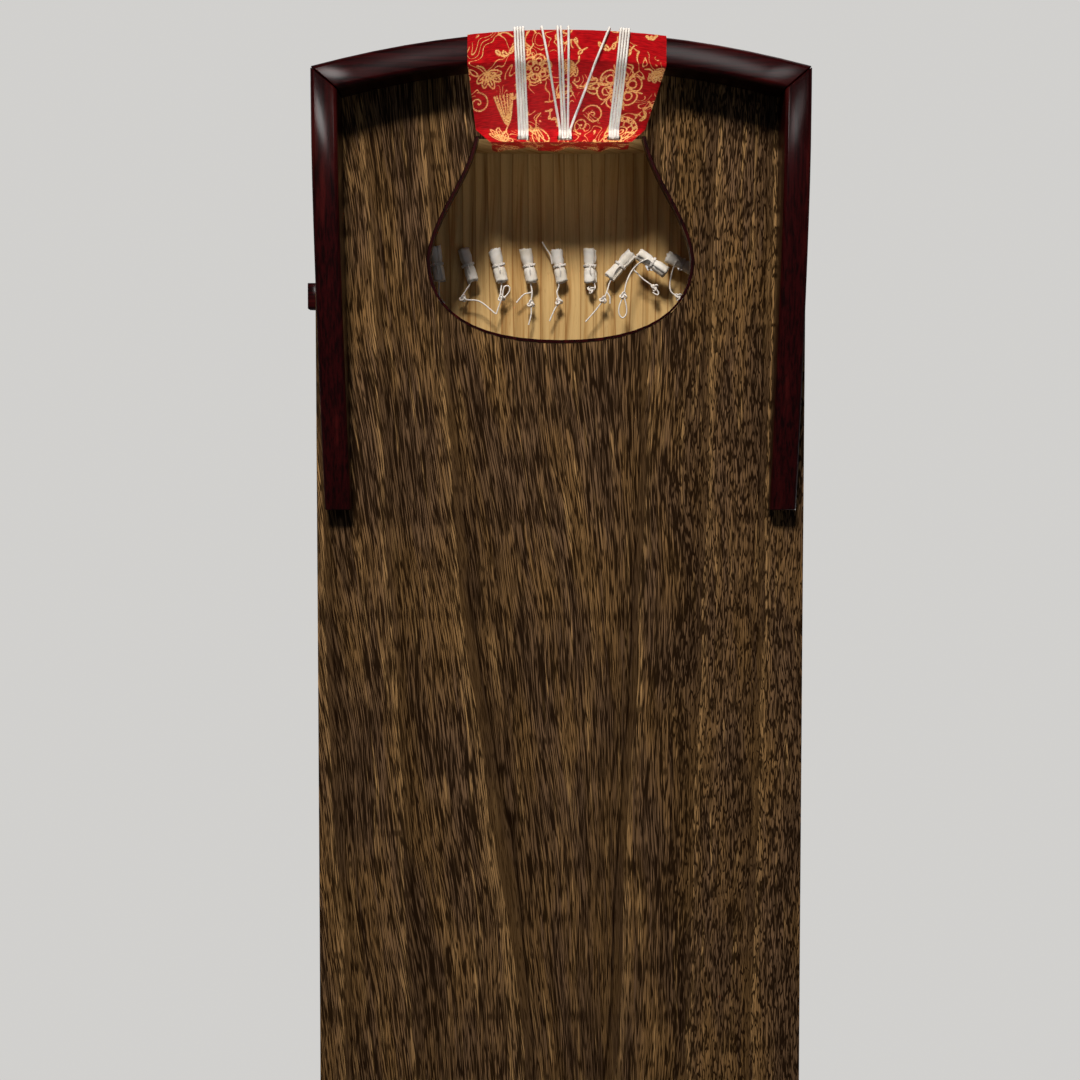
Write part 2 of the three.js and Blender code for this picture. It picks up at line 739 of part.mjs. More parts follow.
function stringRoute(number) {
  const over = seatGap + stringRadius;
  const point = (x, height) => {
    const y = stringY(number, x);
    return new THREE.Vector3(x, y, topZ(x, y) + height);
  };
  const b = bridgeX(number);
  const crest = point(b, bridge.height + over);
  const onBridge = (dx) => new THREE.Vector3(b + dx, stringY(number, b + dx), crest.z);
  const headTop = headBridge.height + over;
  const tailTop = tailBridge.height + over;
  return [
    point(headHoleX, -topThickness - 4),
    point(headHoleX, -1),
    point(headHoleX - 1, 1.5),
    point(headBridge.x + 4, headTop - 0.5),
    point(headBridge.x + 1.5, headTop),
    point(headBridge.x - 1.5, headTop),
    onBridge(1.8),
    onBridge(-1.8),
    point(tailBridge.x + 1.5, tailTop),
    point(tailBridge.x - 1.5, tailTop),
    point(tailBridge.x - 3.5, tailTop - 0.6),
    point(tailHoleX + 2.2, 1.5),
    point(tailHoleX + 1.25, -1),
    point(tailHoleX + 1.25, -12),
  ];
}

function makeString(number) {
  const y = stringY(number, headHoleX);
  const tied = new THREE.CylinderGeometry(knot.radius, knot.radius, knot.length, 8).rotateZ(Math.PI / 2);
  tied.translate(headHoleX, y, cavityTopZ(headHoleX, y) - knot.drop);
  return toSolid(cord(stringRoute(number), stringRadius, 5)).add(toSolid(tied));
}

// The front outline of a movable bridge: string notch, slim neck and two spread feet.
function bridgeOutline() {
  const { height, halfSpan, sunk } = bridge;
  const outline = new THREE.Shape();
  outline.moveTo(halfSpan, -sunk);
  outline.lineTo(halfSpan, 1);
  outline.bezierCurveTo(halfSpan - 3, 16, 5.2, 20, 3.6, 39);
  outline.lineTo(2.9, height + 1.1);
  outline.lineTo(1.3, height + 0.9);
  outline.lineTo(0.85, height);
  outline.lineTo(-0.85, height);
  outline.lineTo(-1.3, height + 0.9);
  outline.lineTo(-2.9, height + 1.1);
  outline.lineTo(-3.6, 39);
  outline.bezierCurveTo(-5.2, 20, -halfSpan + 3, 16, -halfSpan, 1);
  outline.lineTo(-halfSpan, -sunk);
  outline.lineTo(-halfSpan + 9, -sunk);
  outline.lineTo(-halfSpan + 9.5, 1);
  outline.bezierCurveTo(-halfSpan + 11, 14, -6, 24, 0, 24);
  outline.bezierCurveTo(6, 24, halfSpan - 11, 14, halfSpan - 9.5, 1);
  outline.lineTo(halfSpan - 9, -sunk);
  outline.closePath();
  return outline;
}

function makeMovableBridge(number, crown) {
  const x = bridgeX(number);
  const y = stringY(number, x);
  const z = topZ(x, y);
  const geometry = alongLength(bridgeOutline(), -bridge.foot / 2, bridge.foot / 2, 1, 3);
  const position = geometry.getAttribute('position');
  for (let i = 0; i < position.count; i += 1) {
    const up = Math.max(0, position.getZ(i)) / bridge.height;
    position.setX(i, position.getX(i) * mix(1, bridge.top / bridge.foot, up ** 0.8));
  }
  const cut = toSolid(geometry.translate(x, y, z)).subtract(crown);
  return { geometry: toGeometry(cut).translate(-x, -y, -z), x, y, z };
}

function makeRoll() {
  const half = rollLength / 2;
  const profile = [
    [0, -half],
    [rollRadius, -half],
    [rollRadius - 0.1, -rollWaist.half],
    [rollWaist.radius, 0],
    [rollRadius - 0.1, rollWaist.half],
    [rollRadius, half],
    [0, half],
  ];
  const lathe = new THREE.LatheGeometry(profile.map(([r, h]) => new THREE.Vector2(r, h)), 8);
  return toGeometry(toSolid(lathe.rotateZ(-Math.PI / 2)));
}

// ---- Finishes ----
function finish(color, roughness, metalness = 0) {
  return new THREE.MeshStandardMaterial({ color, roughness, metalness });
}

const scorchedPaulownia = () => finish(0x4a3624, 0.62);
const palePaulownia = () => finish(0xd8b988, 0.72);
const rosewood = () => finish(0x2c0d0e, 0.22);
const brocade = () => finish(0xa3161c, 0.5, 0.1);
const whiteCord = () => finish(0xece6e2, 0.55);
const ivory = () => finish(0xefe6d2, 0.35);
const whiteCloth = () => finish(0xe6e0d8, 0.85);

// ---- Assembly ----
const group = new THREE.Group();

function add(name, geometry, material, place = [0, 0, 0], parent = group) {
  const mesh = new THREE.Mesh(geometry, material);
  mesh.name = name;
  mesh.position.set(...place);
  parent.add(mesh);
  return mesh;
}

const body = makeBody();
add('top_shell', toGeometry(body.shell), scorchedPaulownia());
add('back_plate', toGeometry(body.backPlate), scorchedPaulownia());
add('tail_block', toGeometry(body.tailBlock), palePaulownia());
add('head_block', toGeometry(body.headBlock), palePaulownia());
add('tail_brace', toGeometry(body.braces[0]), palePaulownia());
add('head_brace', toGeometry(body.braces[1]), palePaulownia());
add('head_face', toGeometry(makeHeadFace()), rosewood());

const tailBinding = makeBinding(traceTailHole, backZ(tailX + tailHole.bellyAt), true);
const headBinding = makeBinding(traceHeadHole, backZ(headHole.x), false);
add('tail_sound_hole_binding', toGeometry(tailBinding), rosewood());
add('head_sound_hole_binding', toGeometry(headBinding), rosewood());

add('tail_end_rail', makeEndRail(), rosewood());
add('tail_rail_left', makeSideRail(1), rosewood());
add('tail_rail_right', makeSideRail(-1), rosewood());
add('head_foot_left', makeHeadFoot(), rosewood(), [foot.x, foot.y, 0]);
add('head_foot_right', makeHeadFoot(), rosewood(), [foot.x, -foot.y, 0]);

add('head_bridge', toGeometry(makeFixedBridge(headBridge)), rosewood());
add('tail_bridge', toGeometry(makeFixedBridge(tailBridge)), rosewood());
add('leaf_plate', toGeometry(makeLeafPlate()), rosewood());
add('tail_cloth', toGeometry(makeCloth()), brocade());
for (const bundle of bundles) {
  add(bundle.name, toGeometry(makeBundle(bundle)), whiteCord());
}

const crown = grownBody(seatGap);
const label = (number) => String(number).padStart(2, '0');
const bridgeGroup = new THREE.Group();
const rollGroup = new THREE.Group();
group.add(bridgeGroup, rollGroup);
for (let number = 1; number <= stringCount; number += 1) {
  add(`string_${label(number)}`, toGeometry(makeString(number)), whiteCord());
  const made = makeMovableBridge(number, crown);
  add(`bridge_${label(number)}`, made.geometry, ivory(), [made.x, made.y, made.z], bridgeGroup);

  const lie = rollLie[number - 1];
  const y = stringY(number, tailHoleX);
  const turn = THREE.MathUtils.degToRad(lie.turn);
  const reach = (rollLength / 2) * Math.abs(Math.sin(turn)) + rollRadius * Math.cos(turn);
  const z = cavityTopZ(tailHoleX, Math.abs(y) + reach) - 2 * seatGap - rollRadius - lie.drop;
  const roll = add(`anchor_roll_${label(number)}`, makeRoll(), whiteCloth(), [tailHoleX, y, z], rollGroup);
  roll.rotation.z = turn;
}

export default group;
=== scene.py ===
import math

import bmesh
import bpy
import numpy as np
from mathutils import Matrix, Vector, noise


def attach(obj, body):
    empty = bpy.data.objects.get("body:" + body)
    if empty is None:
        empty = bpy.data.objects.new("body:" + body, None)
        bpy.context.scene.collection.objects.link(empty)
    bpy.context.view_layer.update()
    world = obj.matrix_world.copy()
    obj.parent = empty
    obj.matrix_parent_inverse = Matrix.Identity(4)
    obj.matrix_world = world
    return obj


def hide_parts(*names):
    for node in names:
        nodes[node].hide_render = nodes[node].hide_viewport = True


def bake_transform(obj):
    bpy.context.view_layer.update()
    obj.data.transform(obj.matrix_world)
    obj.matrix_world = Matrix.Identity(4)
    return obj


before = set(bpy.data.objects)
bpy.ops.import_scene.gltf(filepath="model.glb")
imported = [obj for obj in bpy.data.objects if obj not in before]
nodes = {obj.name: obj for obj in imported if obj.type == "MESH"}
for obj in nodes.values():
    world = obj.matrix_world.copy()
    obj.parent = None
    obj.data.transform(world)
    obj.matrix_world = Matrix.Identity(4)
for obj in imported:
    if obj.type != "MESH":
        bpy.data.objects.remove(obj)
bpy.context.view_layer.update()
scene = bpy.context.scene
print("frame loaded:", len(nodes), "nodes")

# The instrument's own sizes are in millimetres, as in the CAD, and metres() takes them to the scene.
koto = {
    "tailX": -910.0,
    "headX": 904.2,
    "tailWidth": 244.0,
    "headWidth": 256.0,
    "tailBulge": 17.5,
    "tailHeight": 24.0,
    "headHeight": 60.0,
    "arch": 15.0,
    "crownHeight": 70.0,
    "crownRadius": 322.0,
    "topThickness": 14.0,
    "wallX": -863.5,
    "tailHoleX": -805.0,
    "headHoleX": 823.0,
    "tailBridgeX": -788.1,
    "headBridgeX": 805.0,
    "stringPitch": (16, 17),
    "seatGap": 0.3,
}
numbers = range(1, 14)


def metres(point):
    return Vector(point) * 0.001


def mix(a, b, t):
    return a + (b - a) * t


def polar(reach, angle):
    return reach * math.cos(angle), reach * math.sin(angle)


def widthScale(x):
    along = (x - koto["tailX"]) / (koto["headX"] - koto["tailX"])
    return mix(koto["tailWidth"], koto["headWidth"], along) / koto["tailWidth"]


def backZ(x):
    along = (x - koto["tailX"]) / (-2 * koto["tailX"])
    arch = koto["arch"] * (1 - (x / koto["tailX"]) ** 2)
    return mix(koto["tailHeight"], koto["headHeight"], along) + arch


def crownZ(x, y, radius):
    v = y / widthScale(x)
    return backZ(x) + koto["crownHeight"] - koto["crownRadius"] + math.sqrt(radius**2 - v * v)


def topZ(x, y):
    return crownZ(x, y, koto["crownRadius"])


def cavityTopZ(x, y):
    return crownZ(x, y, koto["crownRadius"] - koto["topThickness"])


def tailEndX(y, inset=0.0):
    radius = ((koto["tailWidth"] / 2) ** 2 + koto["tailBulge"] ** 2) / (2 * koto["tailBulge"])
    return koto["tailX"] + radius - math.sqrt((radius - inset) ** 2 - y * y)


def stringY(number, x):
    along = (x - koto["tailBridgeX"]) / (koto["headBridgeX"] - koto["tailBridgeX"])
    return (7 - number) * mix(*koto["stringPitch"], along)


# Camera: under the tail, square on to the back plate
view = {"aim": (-662.6, 10.2, 35.9), "distance": 956, "lean": 2.4, "lens": 63.06}


def makeCamera():
    lean = math.radians(view["lean"])
    ahead = Vector((math.sin(lean), 0, math.cos(lean)))
    up = Vector((-math.cos(lean), 0, math.sin(lean)))
    turn = Matrix((ahead.cross(up), up, -ahead)).transposed().to_4x4()
    data = bpy.data.cameras.new("camera")
    data.lens = view["lens"]
    data.sensor_width = 36
    camera = bpy.data.objects.new("camera", data)
    camera.matrix_world = Matrix.Translation(metres(view["aim"]) - ahead * view["distance"] * 0.001) @ turn
    scene.collection.objects.link(camera)
    scene.camera = camera


makeCamera()
print("camera placed")


# Writing materials
def newFinish(name, **settings):
    finish = bpy.data.materials.new(name)
    finish.use_nodes = True
    tree = finish.node_tree
    tree.nodes.clear()
    skin = tree.nodes.new("ShaderNodeBsdfPrincipled")
    out = tree.nodes.new("ShaderNodeOutputMaterial")
    tree.links.new(skin.outputs[0], out.inputs["Surface"])
    for socket, value in settings.items():
        skin.inputs[socket.replace("_", " ")].default_value = value
    return finish, tree, skin


def put(tree, kind, inputs=None, **settings):
    node = tree.nodes.new("ShaderNode" + kind)
    for key, value in settings.items():
        setattr(node, key, value)
    for key, value in (inputs or {}).items():
        feed(tree, node.inputs[key], value)
    return node


def feed(tree, socket, value):
    if isinstance(value, bpy.types.NodeSocket):
        tree.links.new(value, socket)
    else:
        socket.default_value = value


def calc(tree, operation, a, b=0.0, c=0.0):
    return put(tree, "Math", {0: a, 1: b, 2: c}, operation=operation).outputs[0]


def times(tree, a, b):
    return calc(tree, "MULTIPLY", a, b)


def timesPlus(tree, a, b, c):
    return calc(tree, "MULTIPLY_ADD", a, b, c)


def gap(tree, a, b):
    return calc(tree, "ABSOLUTE", calc(tree, "SUBTRACT", a, b))


def between(tree, value, low, high, start=0.0, end=1.0):
    inputs = {"Value": value, "From Min": low, "From Max": high, "To Min": start, "To Max": end}
    return put(tree, "MapRange", inputs, interpolation_type="SMOOTHSTEP").outputs[0]


def joined(tree, x, y, z=0.0):
    return put(tree, "CombineXYZ", {"X": x, "Y": y, "Z": z}).outputs[0]


def grainNoise(tree, vector, detail=2.0, roughness=0.5, bend=0.0, scale=1.0):
    inputs = {"Vector": vector, "Scale": scale, "Detail": detail, "Roughness": roughness, "Distortion": bend}
    return put(tree, "TexNoise", inputs).outputs[0]


def stretched(tree, x, perX, y, perY, detail=2.0, roughness=0.5):
    place = joined(tree, times(tree, x, perX), times(tree, y, perY))
    return grainNoise(tree, place, detail, roughness)


def scaledBy(tree, place, scale):
    return put(tree, "VectorMath", {0: place, 1: scale}, operation="MULTIPLY").outputs[0]


def tint(tree, share, a, b):
    node = put(tree, "Mix", data_type="RGBA")
    feed(tree, node.inputs[0], share)
    feed(tree, node.inputs[6], a)
    feed(tree, node.inputs[7], b)
    return node.outputs[2]


def colour(red, green, blue):
    return (red, green, blue, 1.0)


def inMillimetres(tree):
    place = put(tree, "TexCoord").outputs["Object"]
    scaled = put(tree, "VectorMath", {0: place, "Scale": 1000.0}, operation="SCALE").outputs[0]
    parts = put(tree, "SeparateXYZ", {0: scaled}).outputs
    return scaled, parts["X"], parts["Y"], parts["Z"]


def relief(tree, skin, height, depth, distance=0.001):
    bump = put(tree, "Bump", {"Height": height, "Strength": depth, "Distance": distance})
    feed(tree, skin.inputs["Normal"], bump.outputs[0])


# Scorched and brushed paulownia: growth rings that close in a long tongue, and short dark pores along them.
scorched = {
    "axis": 10.0,
    "ringPitch": 29.0,
    "ringOffset": -0.05,
    "leftTaper": 7.4,
    "rightTaper": 3.9,
    "slant": 0.13,
    "light": colour(0.265, 0.148, 0.058),
    "gold": colour(0.45, 0.265, 0.11),
    "greyish": colour(0.185, 0.108, 0.058),
    "band": colour(0.052, 0.028, 0.011),
    "dark": colour(0.006, 0.0020, 0.0004),
}


def makeScorchedWood():
    s = scorched
    finish, tree, skin = newFinish("scorchedPaulownia", IOR=1.4, Specular_IOR_Level=0.06)
    x, y, z = inMillimetres(tree)[1:]
    facing = put(tree, "SeparateXYZ", {0: put(tree, "NewGeometry").outputs["Normal"]}).outputs["Y"]
    onSide = between(tree, calc(tree, "ABSOLUTE", facing), 0.55, 0.85)
    across = timesPlus(tree, z, onSide, y)
    fromAxis = calc(tree, "SUBTRACT", across, s["axis"])
    taper = between(tree, fromAxis, -15, 15, s["rightTaper"], s["leftTaper"])
    run = calc(tree, "MAXIMUM", calc(tree, "ADD", x, 900.0), 0.0)
    squared = timesPlus(tree, fromAxis, fromAxis, times(tree, taper, run))
    sway = stretched(tree, x, 0.009, across, 0.02, 2.0)
    ring = timesPlus(tree, sway, 9.0, calc(tree, "SQRT", calc(tree, "MAXIMUM", squared, 1.0)))
    ring = calc(tree, "ADD", ring, -4.5)
    count = timesPlus(tree, ring, 1 / s["ringPitch"], s["ringOffset"])
    within = calc(tree, "FRACT", count)
    ringNumber = joined(tree, calc(tree, "FLOOR", count), 0.0)
    ringTone = put(tree, "TexWhiteNoise", {"Vector": ringNumber}).outputs["Value"]
    clearOfAxis = between(tree, ring, 34, 50)
    strength = times(tree, clearOfAxis, between(tree, ringTone, 0.1, 0.9, 0.35, 1.0))
    late = times(tree, between(tree, within, 0.30, 0.90), clearOfAxis)
    band = times(tree, between(tree, within, 0.88, 0.92), strength)
    rim = gap(tree, within, 0.885)
    line = times(tree, between(tree, rim, 0.022, 0.006), strength)
    fresh = times(tree, between(tree, within, 0.14, 0.0), clearOfAxis)

    lean = calc(tree, "SINE", timesPlus(tree, x, 1 / 300, 650 / 300))
    lean = times(tree, lean, 300 * s["slant"])
    slantShare = between(tree, across, -48, 8)
    wander = stretched(tree, x, 0.0075, across, 0.02, 1.0)
    grain = timesPlus(tree, lean, slantShare, across)
    grain = timesPlus(tree, wander, 12.0, grain)

    def streaks(length, width, detail=1.0, bend=0.0, shift=0.0):
        along = timesPlus(tree, x, 1 / length, shift)
        return grainNoise(tree, joined(tree, along, times(tree, grain, 1 / width)), detail, 0.5, bend)

    def veins(source, wide, narrow):
        return between(tree, gap(tree, source, 0.5), wide, narrow)

    rightThird = between(tree, timesPlus(tree, sway, 50.0, across), -18, -48)
    longPores = streaks(26.0, 1.15, 1.0)
    shortPores = streaks(9.5, 1.2, 1.0, 0.35, 7.0)
    pores = put(tree, "Mix", {0: rightThird, 2: longPores, 3: shortPores}, data_type="FLOAT").outputs[0]
    finePores = streaks(16.0, 0.75, 0.0, 0.0, 3.0)
    patches = stretched(tree, x, 0.012, grain, 0.06, 3.0)
    streaky = streaks(70.0, 3.2, 2.0, 0.0, 11.0)
    heavy = between(tree, patches, 0.36, 0.70, 0.085, 0.130)
    heavy = times(tree, heavy, between(tree, band, 0, 1, 1.0, 0.35))
    core = times(tree, heavy, 0.3)
    deep = between(tree, gap(tree, pores, 0.5), heavy, core)
    thin = times(tree, veins(finePores, 0.09, 0.02), 0.8)
    dark = calc(tree, "MAXIMUM", deep, thin)
    dark = times(tree, dark, between(tree, band, 0, 1, 1.0, 0.7))

    base = tint(tree, between(tree, patches, 0.36, 0.62), s["light"], s["greyish"])
    golden = calc(tree, "MAXIMUM", between(tree, streaky, 0.58, 0.70), times(tree, fresh, 0.7))
    base = tint(tree, golden, base, s["gold"])
    base = tint(tree, between(tree, streaky, 0.44, 0.30), base, s["greyish"])
    base = tint(tree, times(tree, late, 0.35), base, s["band"])
    base = tint(tree, times(tree, band, 0.72), base, s["band"])
    base = tint(tree, times(tree, line, 0.8), base, s["dark"])
    feed(tree, skin.inputs["Base Color"], tint(tree, times(tree, dark, 0.93), base, s["dark"]))
    feed(tree, skin.inputs["Roughness"], between(tree, dark, 0, 1, 0.58, 0.8))
    relief(tree, skin, timesPlus(tree, dark, -1.0, times(tree, finePores, 0.3)), 0.5, 0.0004)
    return finish


# Bare paulownia inside the body: pale, with faint orange grain and the flutes that the plane leaves.
pale = {
    "base": colour(0.72, 0.495, 0.22),
    "deep": colour(0.50, 0.29, 0.105),
    "line": colour(0.36, 0.17, 0.05),
    "fluteWidth": 6.8,
}


def makePaleWood(name, fluted):
    finish, tree, skin = newFinish(name, IOR=1.4, Specular_IOR_Level=0.2, Roughness=0.7)
    x, y, z = inMillimetres(tree)[1:]
    across = y if fluted else timesPlus(tree, z, 0.6, y)
    sway = stretched(tree, x, 0.012, y, 0.03, 1.0)
    ring = timesPlus(tree, sway, 10.0, across)
    lines = stretched(tree, x, 0.008, ring, 0.28, 3.0, 0.6)
    fibre = stretched(tree, x, 0.12, ring, 2.0, 2.0, 0.6)
    speck = stretched(tree, x, 0.22, ring, 1.1, 1.0)
    share = times(tree, between(tree, lines, 0.42, 0.66), 0.8)
    share = timesPlus(tree, between(tree, fibre, 0.5, 0.75), 0.3, share)
    tone = tint(tree, share, pale["base"], pale["deep"])
    tone = tint(tree, times(tree, between(tree, lines, 0.62, 0.70), 0.75), tone, pale["line"])
    tone = tint(tree, times(tree, between(tree, speck, 0.68, 0.78), 0.35), tone, pale["line"])
    height = calc(tree, "ADD", fibre, times(tree, lines, 0.5))
    if fluted:
        uneven = stretched(tree, x, 0.006, y, 0.09, 1.0)
        at = times(tree, timesPlus(tree, uneven, 7.0, y), math.pi / pale["fluteWidth"])
        flute = calc(tree, "ABSOLUTE", calc(tree, "SINE", at))
        # The ridges between flutes are tinted darker: partly the orange line the plane leaves, partly painted
        # shade.
        ridgeLineAndShade = between(tree, flute, 0.24, 0.02)
        tone = tint(tree, times(tree, ridgeLineAndShade, 0.8), tone, pale["line"])
        height = timesPlus(tree, flute, -9.0, height)
    feed(tree, skin.inputs["Base Color"], tone)
    relief(tree, skin, height, 0.4, 0.00035)
    return finish


# Polished rosewood, nearly black with a wine red glow and fine darker streaks.
rosewood = {
    "base": colour(0.026, 0.0016, 0.002),
    "dark": colour(0.006, 0.0005, 0.0007),
    "warm": colour(0.075, 0.007, 0.006),
    "pore": colour(0.004, 0.001, 0.001),
}


def makeRosewood(name, crosswise):
    finish, tree, skin = newFinish(
        name, IOR=1.45, Specular_IOR_Level=0.07, Coat_Weight=0.45, Coat_Roughness=0.16, Roughness=0.45
    )
    place = inMillimetres(tree)[0]

    def along(length, width, detail, bend=0.0):
        scale = (1 / width, 1 / length, 1 / width) if crosswise else (1 / length, 1 / width, 1 / width)
        return grainNoise(tree, scaledBy(tree, place, scale), detail, 0.6, bend)

    streak = along(55.0, 1.1, 3.0, 0.3)
    figure = along(100.0, 7.0, 2.0)
    pore = along(4.5, 0.4, 1.0)
    tone = tint(tree, between(tree, streak, 0.38, 0.66), rosewood["base"], rosewood["dark"])
    tone = tint(tree, times(tree, between(tree, figure, 0.52, 0.72), 0.55), tone, rosewood["warm"])
    tone = tint(tree, times(tree, between(tree, pore, 0.62, 0.7), 0.7), tone, rosewood["pore"])
    feed(tree, skin.inputs["Base Color"], tone)
    relief(tree, skin, times(tree, pore, -1.0), 0.12, 0.0002)
    return finish


def makeIvory():
    finish, tree, skin = newFinish("ivoryPlastic", IOR=1.5, Subsurface_Weight=0.15, Subsurface_Scale=0.003)
    place = inMillimetres(tree)[0]
    cloud = grainNoise(tree, scaledBy(tree, place, (0.05, 0.09, 0.05)), 3.0)
    rub = grainNoise(tree, scaledBy(tree, place, (1.2, 1.2, 0.2)), 2.0)
    tone = tint(tree, between(tree, cloud, 0.35, 0.7), colour(0.83, 0.77, 0.64), colour(0.70, 0.61, 0.44))
    feed(tree, skin.inputs["Base Color"], tone)
    feed(tree, skin.inputs["Roughness"], between(tree, rub, 0.3, 0.7, 0.28, 0.42))
    relief(tree, skin, rub, 0.08, 0.0002)
    return finish


def makeCordFinish():
    finish, tree, skin = newFinish("twistedCord", IOR=1.45, Specular_IOR_Level=0.3, Roughness=0.5)
    place, x, y, z = inMillimetres(tree)
    turn = calc(tree, "ADD", times(tree, x, 2.2), timesPlus(tree, y, 2.4, z))
    ply = calc(tree, "SINE", turn)
    fuzz = grainNoise(tree, place, 2.0, 0.6, 0.0, 1.7)
    tone = tint(tree, between(tree, fuzz, 0.3, 0.7), colour(0.94, 0.91, 0.88), colour(0.84, 0.80, 0.76))
    feed(tree, skin.inputs["Base Color"], tone)
    relief(tree, skin, timesPlus(tree, fuzz, 0.5, ply), 0.14, 0.0002)
    return finish


def makeRollCloth():
    finish, tree, skin = newFinish(
        "rolledCotton", IOR=1.4, Specular_IOR_Level=0.15, Roughness=0.9, Sheen_Weight=0.1, Sheen_Roughness=0.5
    )
    place, x, y, z = inMillimetres(tree)
    warp = calc(tree, "SINE", times(tree, x, 9.0))
    weft = calc(tree, "SINE", times(tree, calc(tree, "ADD", y, z), 9.0))
    crease = grainNoise(tree, place, 3.0, 0.6, 0.4, 0.25)
    stain = grainNoise(tree, place, 2.0, 0.5, 0.0, 0.12)
    tone = tint(tree, between(tree, stain, 0.35, 0.7), colour(0.93, 0.91, 0.87), colour(0.80, 0.75, 0.66))
    feed(tree, skin.inputs["Base Color"], tone)
    height = timesPlus(tree, times(tree, warp, weft), 0.2, crease)
    relief(tree, skin, height, 0.5, 0.0005)
    return finish


# Satin brocade: crimson ground with gold weft floats where the piece's "gold" attribute says so.
brocade = {
    "ground": colour(0.56, 0.005, 0.009),
    # The darker red is partly the weave's own slub tone and partly painted satin shade.
    "slubAndShadeTone": colour(0.30, 0.0015, 0.004),
    "gold": colour(0.88, 0.42, 0.13),
    "paleGold": colour(0.98, 0.72, 0.36),
}


def makeBrocade():
    finish, tree, skin = newFinish("brocade", IOR=1.45, Specular_IOR_Level=0.18)
    gold = put(tree, "Attribute", attribute_name="gold").outputs["Fac"]
    place = put(tree, "UVMap", uv_map="flat").outputs[0]
    parts = put(tree, "SeparateXYZ", {0: place}).outputs
    u, v = parts["X"], parts["Y"]
    weft = calc(tree, "SINE", times(tree, v, 11.0))
    twill = calc(tree, "SINE", timesPlus(tree, u, 7.0, times(tree, v, 7.0)))
    floats = stretched(tree, u, 0.9, v, 2.6, 2.0)
    petals = grainNoise(tree, joined(tree, u, v), 1.0, 0.4, 0.6, 0.085)
    level = calc(tree, "FRACT", times(tree, petals, 9.0))
    contour = gap(tree, level, 0.5)
    bloom = between(tree, grainNoise(tree, joined(tree, u, v, 5.0), 0.0, 0.5, 0.0, 0.07), 0.52, 0.56)
    small = times(tree, between(tree, contour, 0.105, 0.04), bloom)
    drawn = calc(tree, "MAXIMUM", between(tree, gold, 0.2, 0.6), times(tree, small, 0.9))
    solid = times(tree, drawn, between(tree, floats, 0.34, 0.44))
    # Darker patches across the ground: partly slub in the weave, partly painted satin shade.
    slubAndShadeMask = stretched(tree, u, 0.25, v, 1.6, 2.0)
    ground = tint(tree, between(tree, slubAndShadeMask, 0.3, 0.7), brocade["ground"], brocade["slubAndShadeTone"])
    thread = tint(tree, between(tree, floats, 0.45, 0.7), brocade["gold"], brocade["paleGold"])
    feed(tree, skin.inputs["Base Color"], tint(tree, solid, ground, thread))
    feed(tree, skin.inputs["Metallic"], times(tree, solid, 0.08))
    feed(tree, skin.inputs["Roughness"], between(tree, solid, 0, 1, 0.42, 0.36))
    height = timesPlus(tree, solid, 1.2, times(tree, calc(tree, "ADD", weft, twill), 0.2))
    relief(tree, skin, height, 0.45, 0.0003)
    return finish


woodFinish = makeScorchedWood()
paleFinish = makePaleWood("palePaulownia", False)
hollowFinish = makePaleWood("hollowedPaulownia", True)
roseFinish = makeRosewood("rosewood", False)
crossRoseFinish = makeRosewood("rosewoodCrosswise", True)
ivoryFinish = makeIvory()
cordFinish = makeCordFinish()
cottonFinish = makeRollCloth()
brocadeFinish = makeBrocade()
print("materials made")


# Taking the CAD pieces into finished ones
def dress(obj, finish, body):
    obj.data.materials.clear()
    obj.data.materials.append(finish)
    if body:
        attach(obj, body)
    return obj


def shown(name, mesh, creaseAngle=32):
    obj = bpy.data.objects.new(name, mesh)
    scene.collection.objects.link(obj)
    mesh.shade_smooth()
    mesh.set_sharp_from_angle(angle=math.radians(creaseAngle))
    return obj


def mergedCopy(node, name, finish, body="root", edge=None, creaseAngle=32):
    mesh = nodes[node].data.copy()
    mesh.name = name
    bm = bmesh.new()
    bm.from_mesh(mesh)
    bmesh.ops.remove_doubles(bm, verts=bm.verts, dist=2e-6)
    bmesh.ops.dissolve_limit(bm, angle_limit=math.radians(0.3), verts=bm.verts, edges=bm.edges)
    if edge:
        sharp = [e for e in bm.edges if e.is_manifold and e.calc_face_angle() > math.radians(edge["angle"])]
        bmesh.ops.bevel(
            bm, geom=sharp, offset=edge["width"] * 0.001, offset_type="OFFSET", segments=edge["segments"],
            profile=0.5, affect="EDGES", material=-1, clamp_overlap=True,
        )
    bm.to_mesh(mesh)
    bm.free()
    obj = dress(shown(name, mesh, creaseAngle), finish, body)
    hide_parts(node)
    return obj


railEdge = {"width": 0.6, "segments": 3, "angle": 25}
fineEdge = {"width": 0.35, "segments": 2, "angle": 30}


def makeRosewoodPieces():
    mergedCopy("tail_end_rail", "tail_end_rail_polished", crossRoseFinish, edge=railEdge)
    for node in ("tail_rail_left", "tail_rail_right"):
        mergedCopy(node, node + "_polished", roseFinish, edge=railEdge)
    for node in ("head_foot_left", "head_foot_right", "head_bridge", "tail_bridge", "head_face"):
        mergedCopy(node, node + "_polished", crossRoseFinish, edge=fineEdge)
    for node in ("tail_sound_hole_binding", "head_sound_hole_binding", "leaf_plate"):
        mergedCopy(node, node + "_polished", roseFinish)


makeRosewoodPieces()
print("rosewood pieces finished")


def makeBody():
    shell = mergedCopy("top_shell", "body_shell", woodFinish, creaseAngle=40)
    shell.data.materials.append(hollowFinish)
    for face in shell.data.polygons:
        x, y, z = (value * 1000 for value in face.center)
        out = Vector((0, y, z - backZ(x) + 100)).dot(face.normal)
        inside = out < 0 and z < topZ(min(x, 900), min(abs(y), 120)) - 3
        if inside:
            face.material_index = 1
    for node in ("tail_block", "head_block", "tail_brace", "head_brace"):
        mergedCopy(node, node + "_wood", paleFinish, edge=fineEdge)
    mergedCopy("back_plate", "back_plate_scorched", woodFinish, creaseAngle=40)


makeBody()
print("body finished")


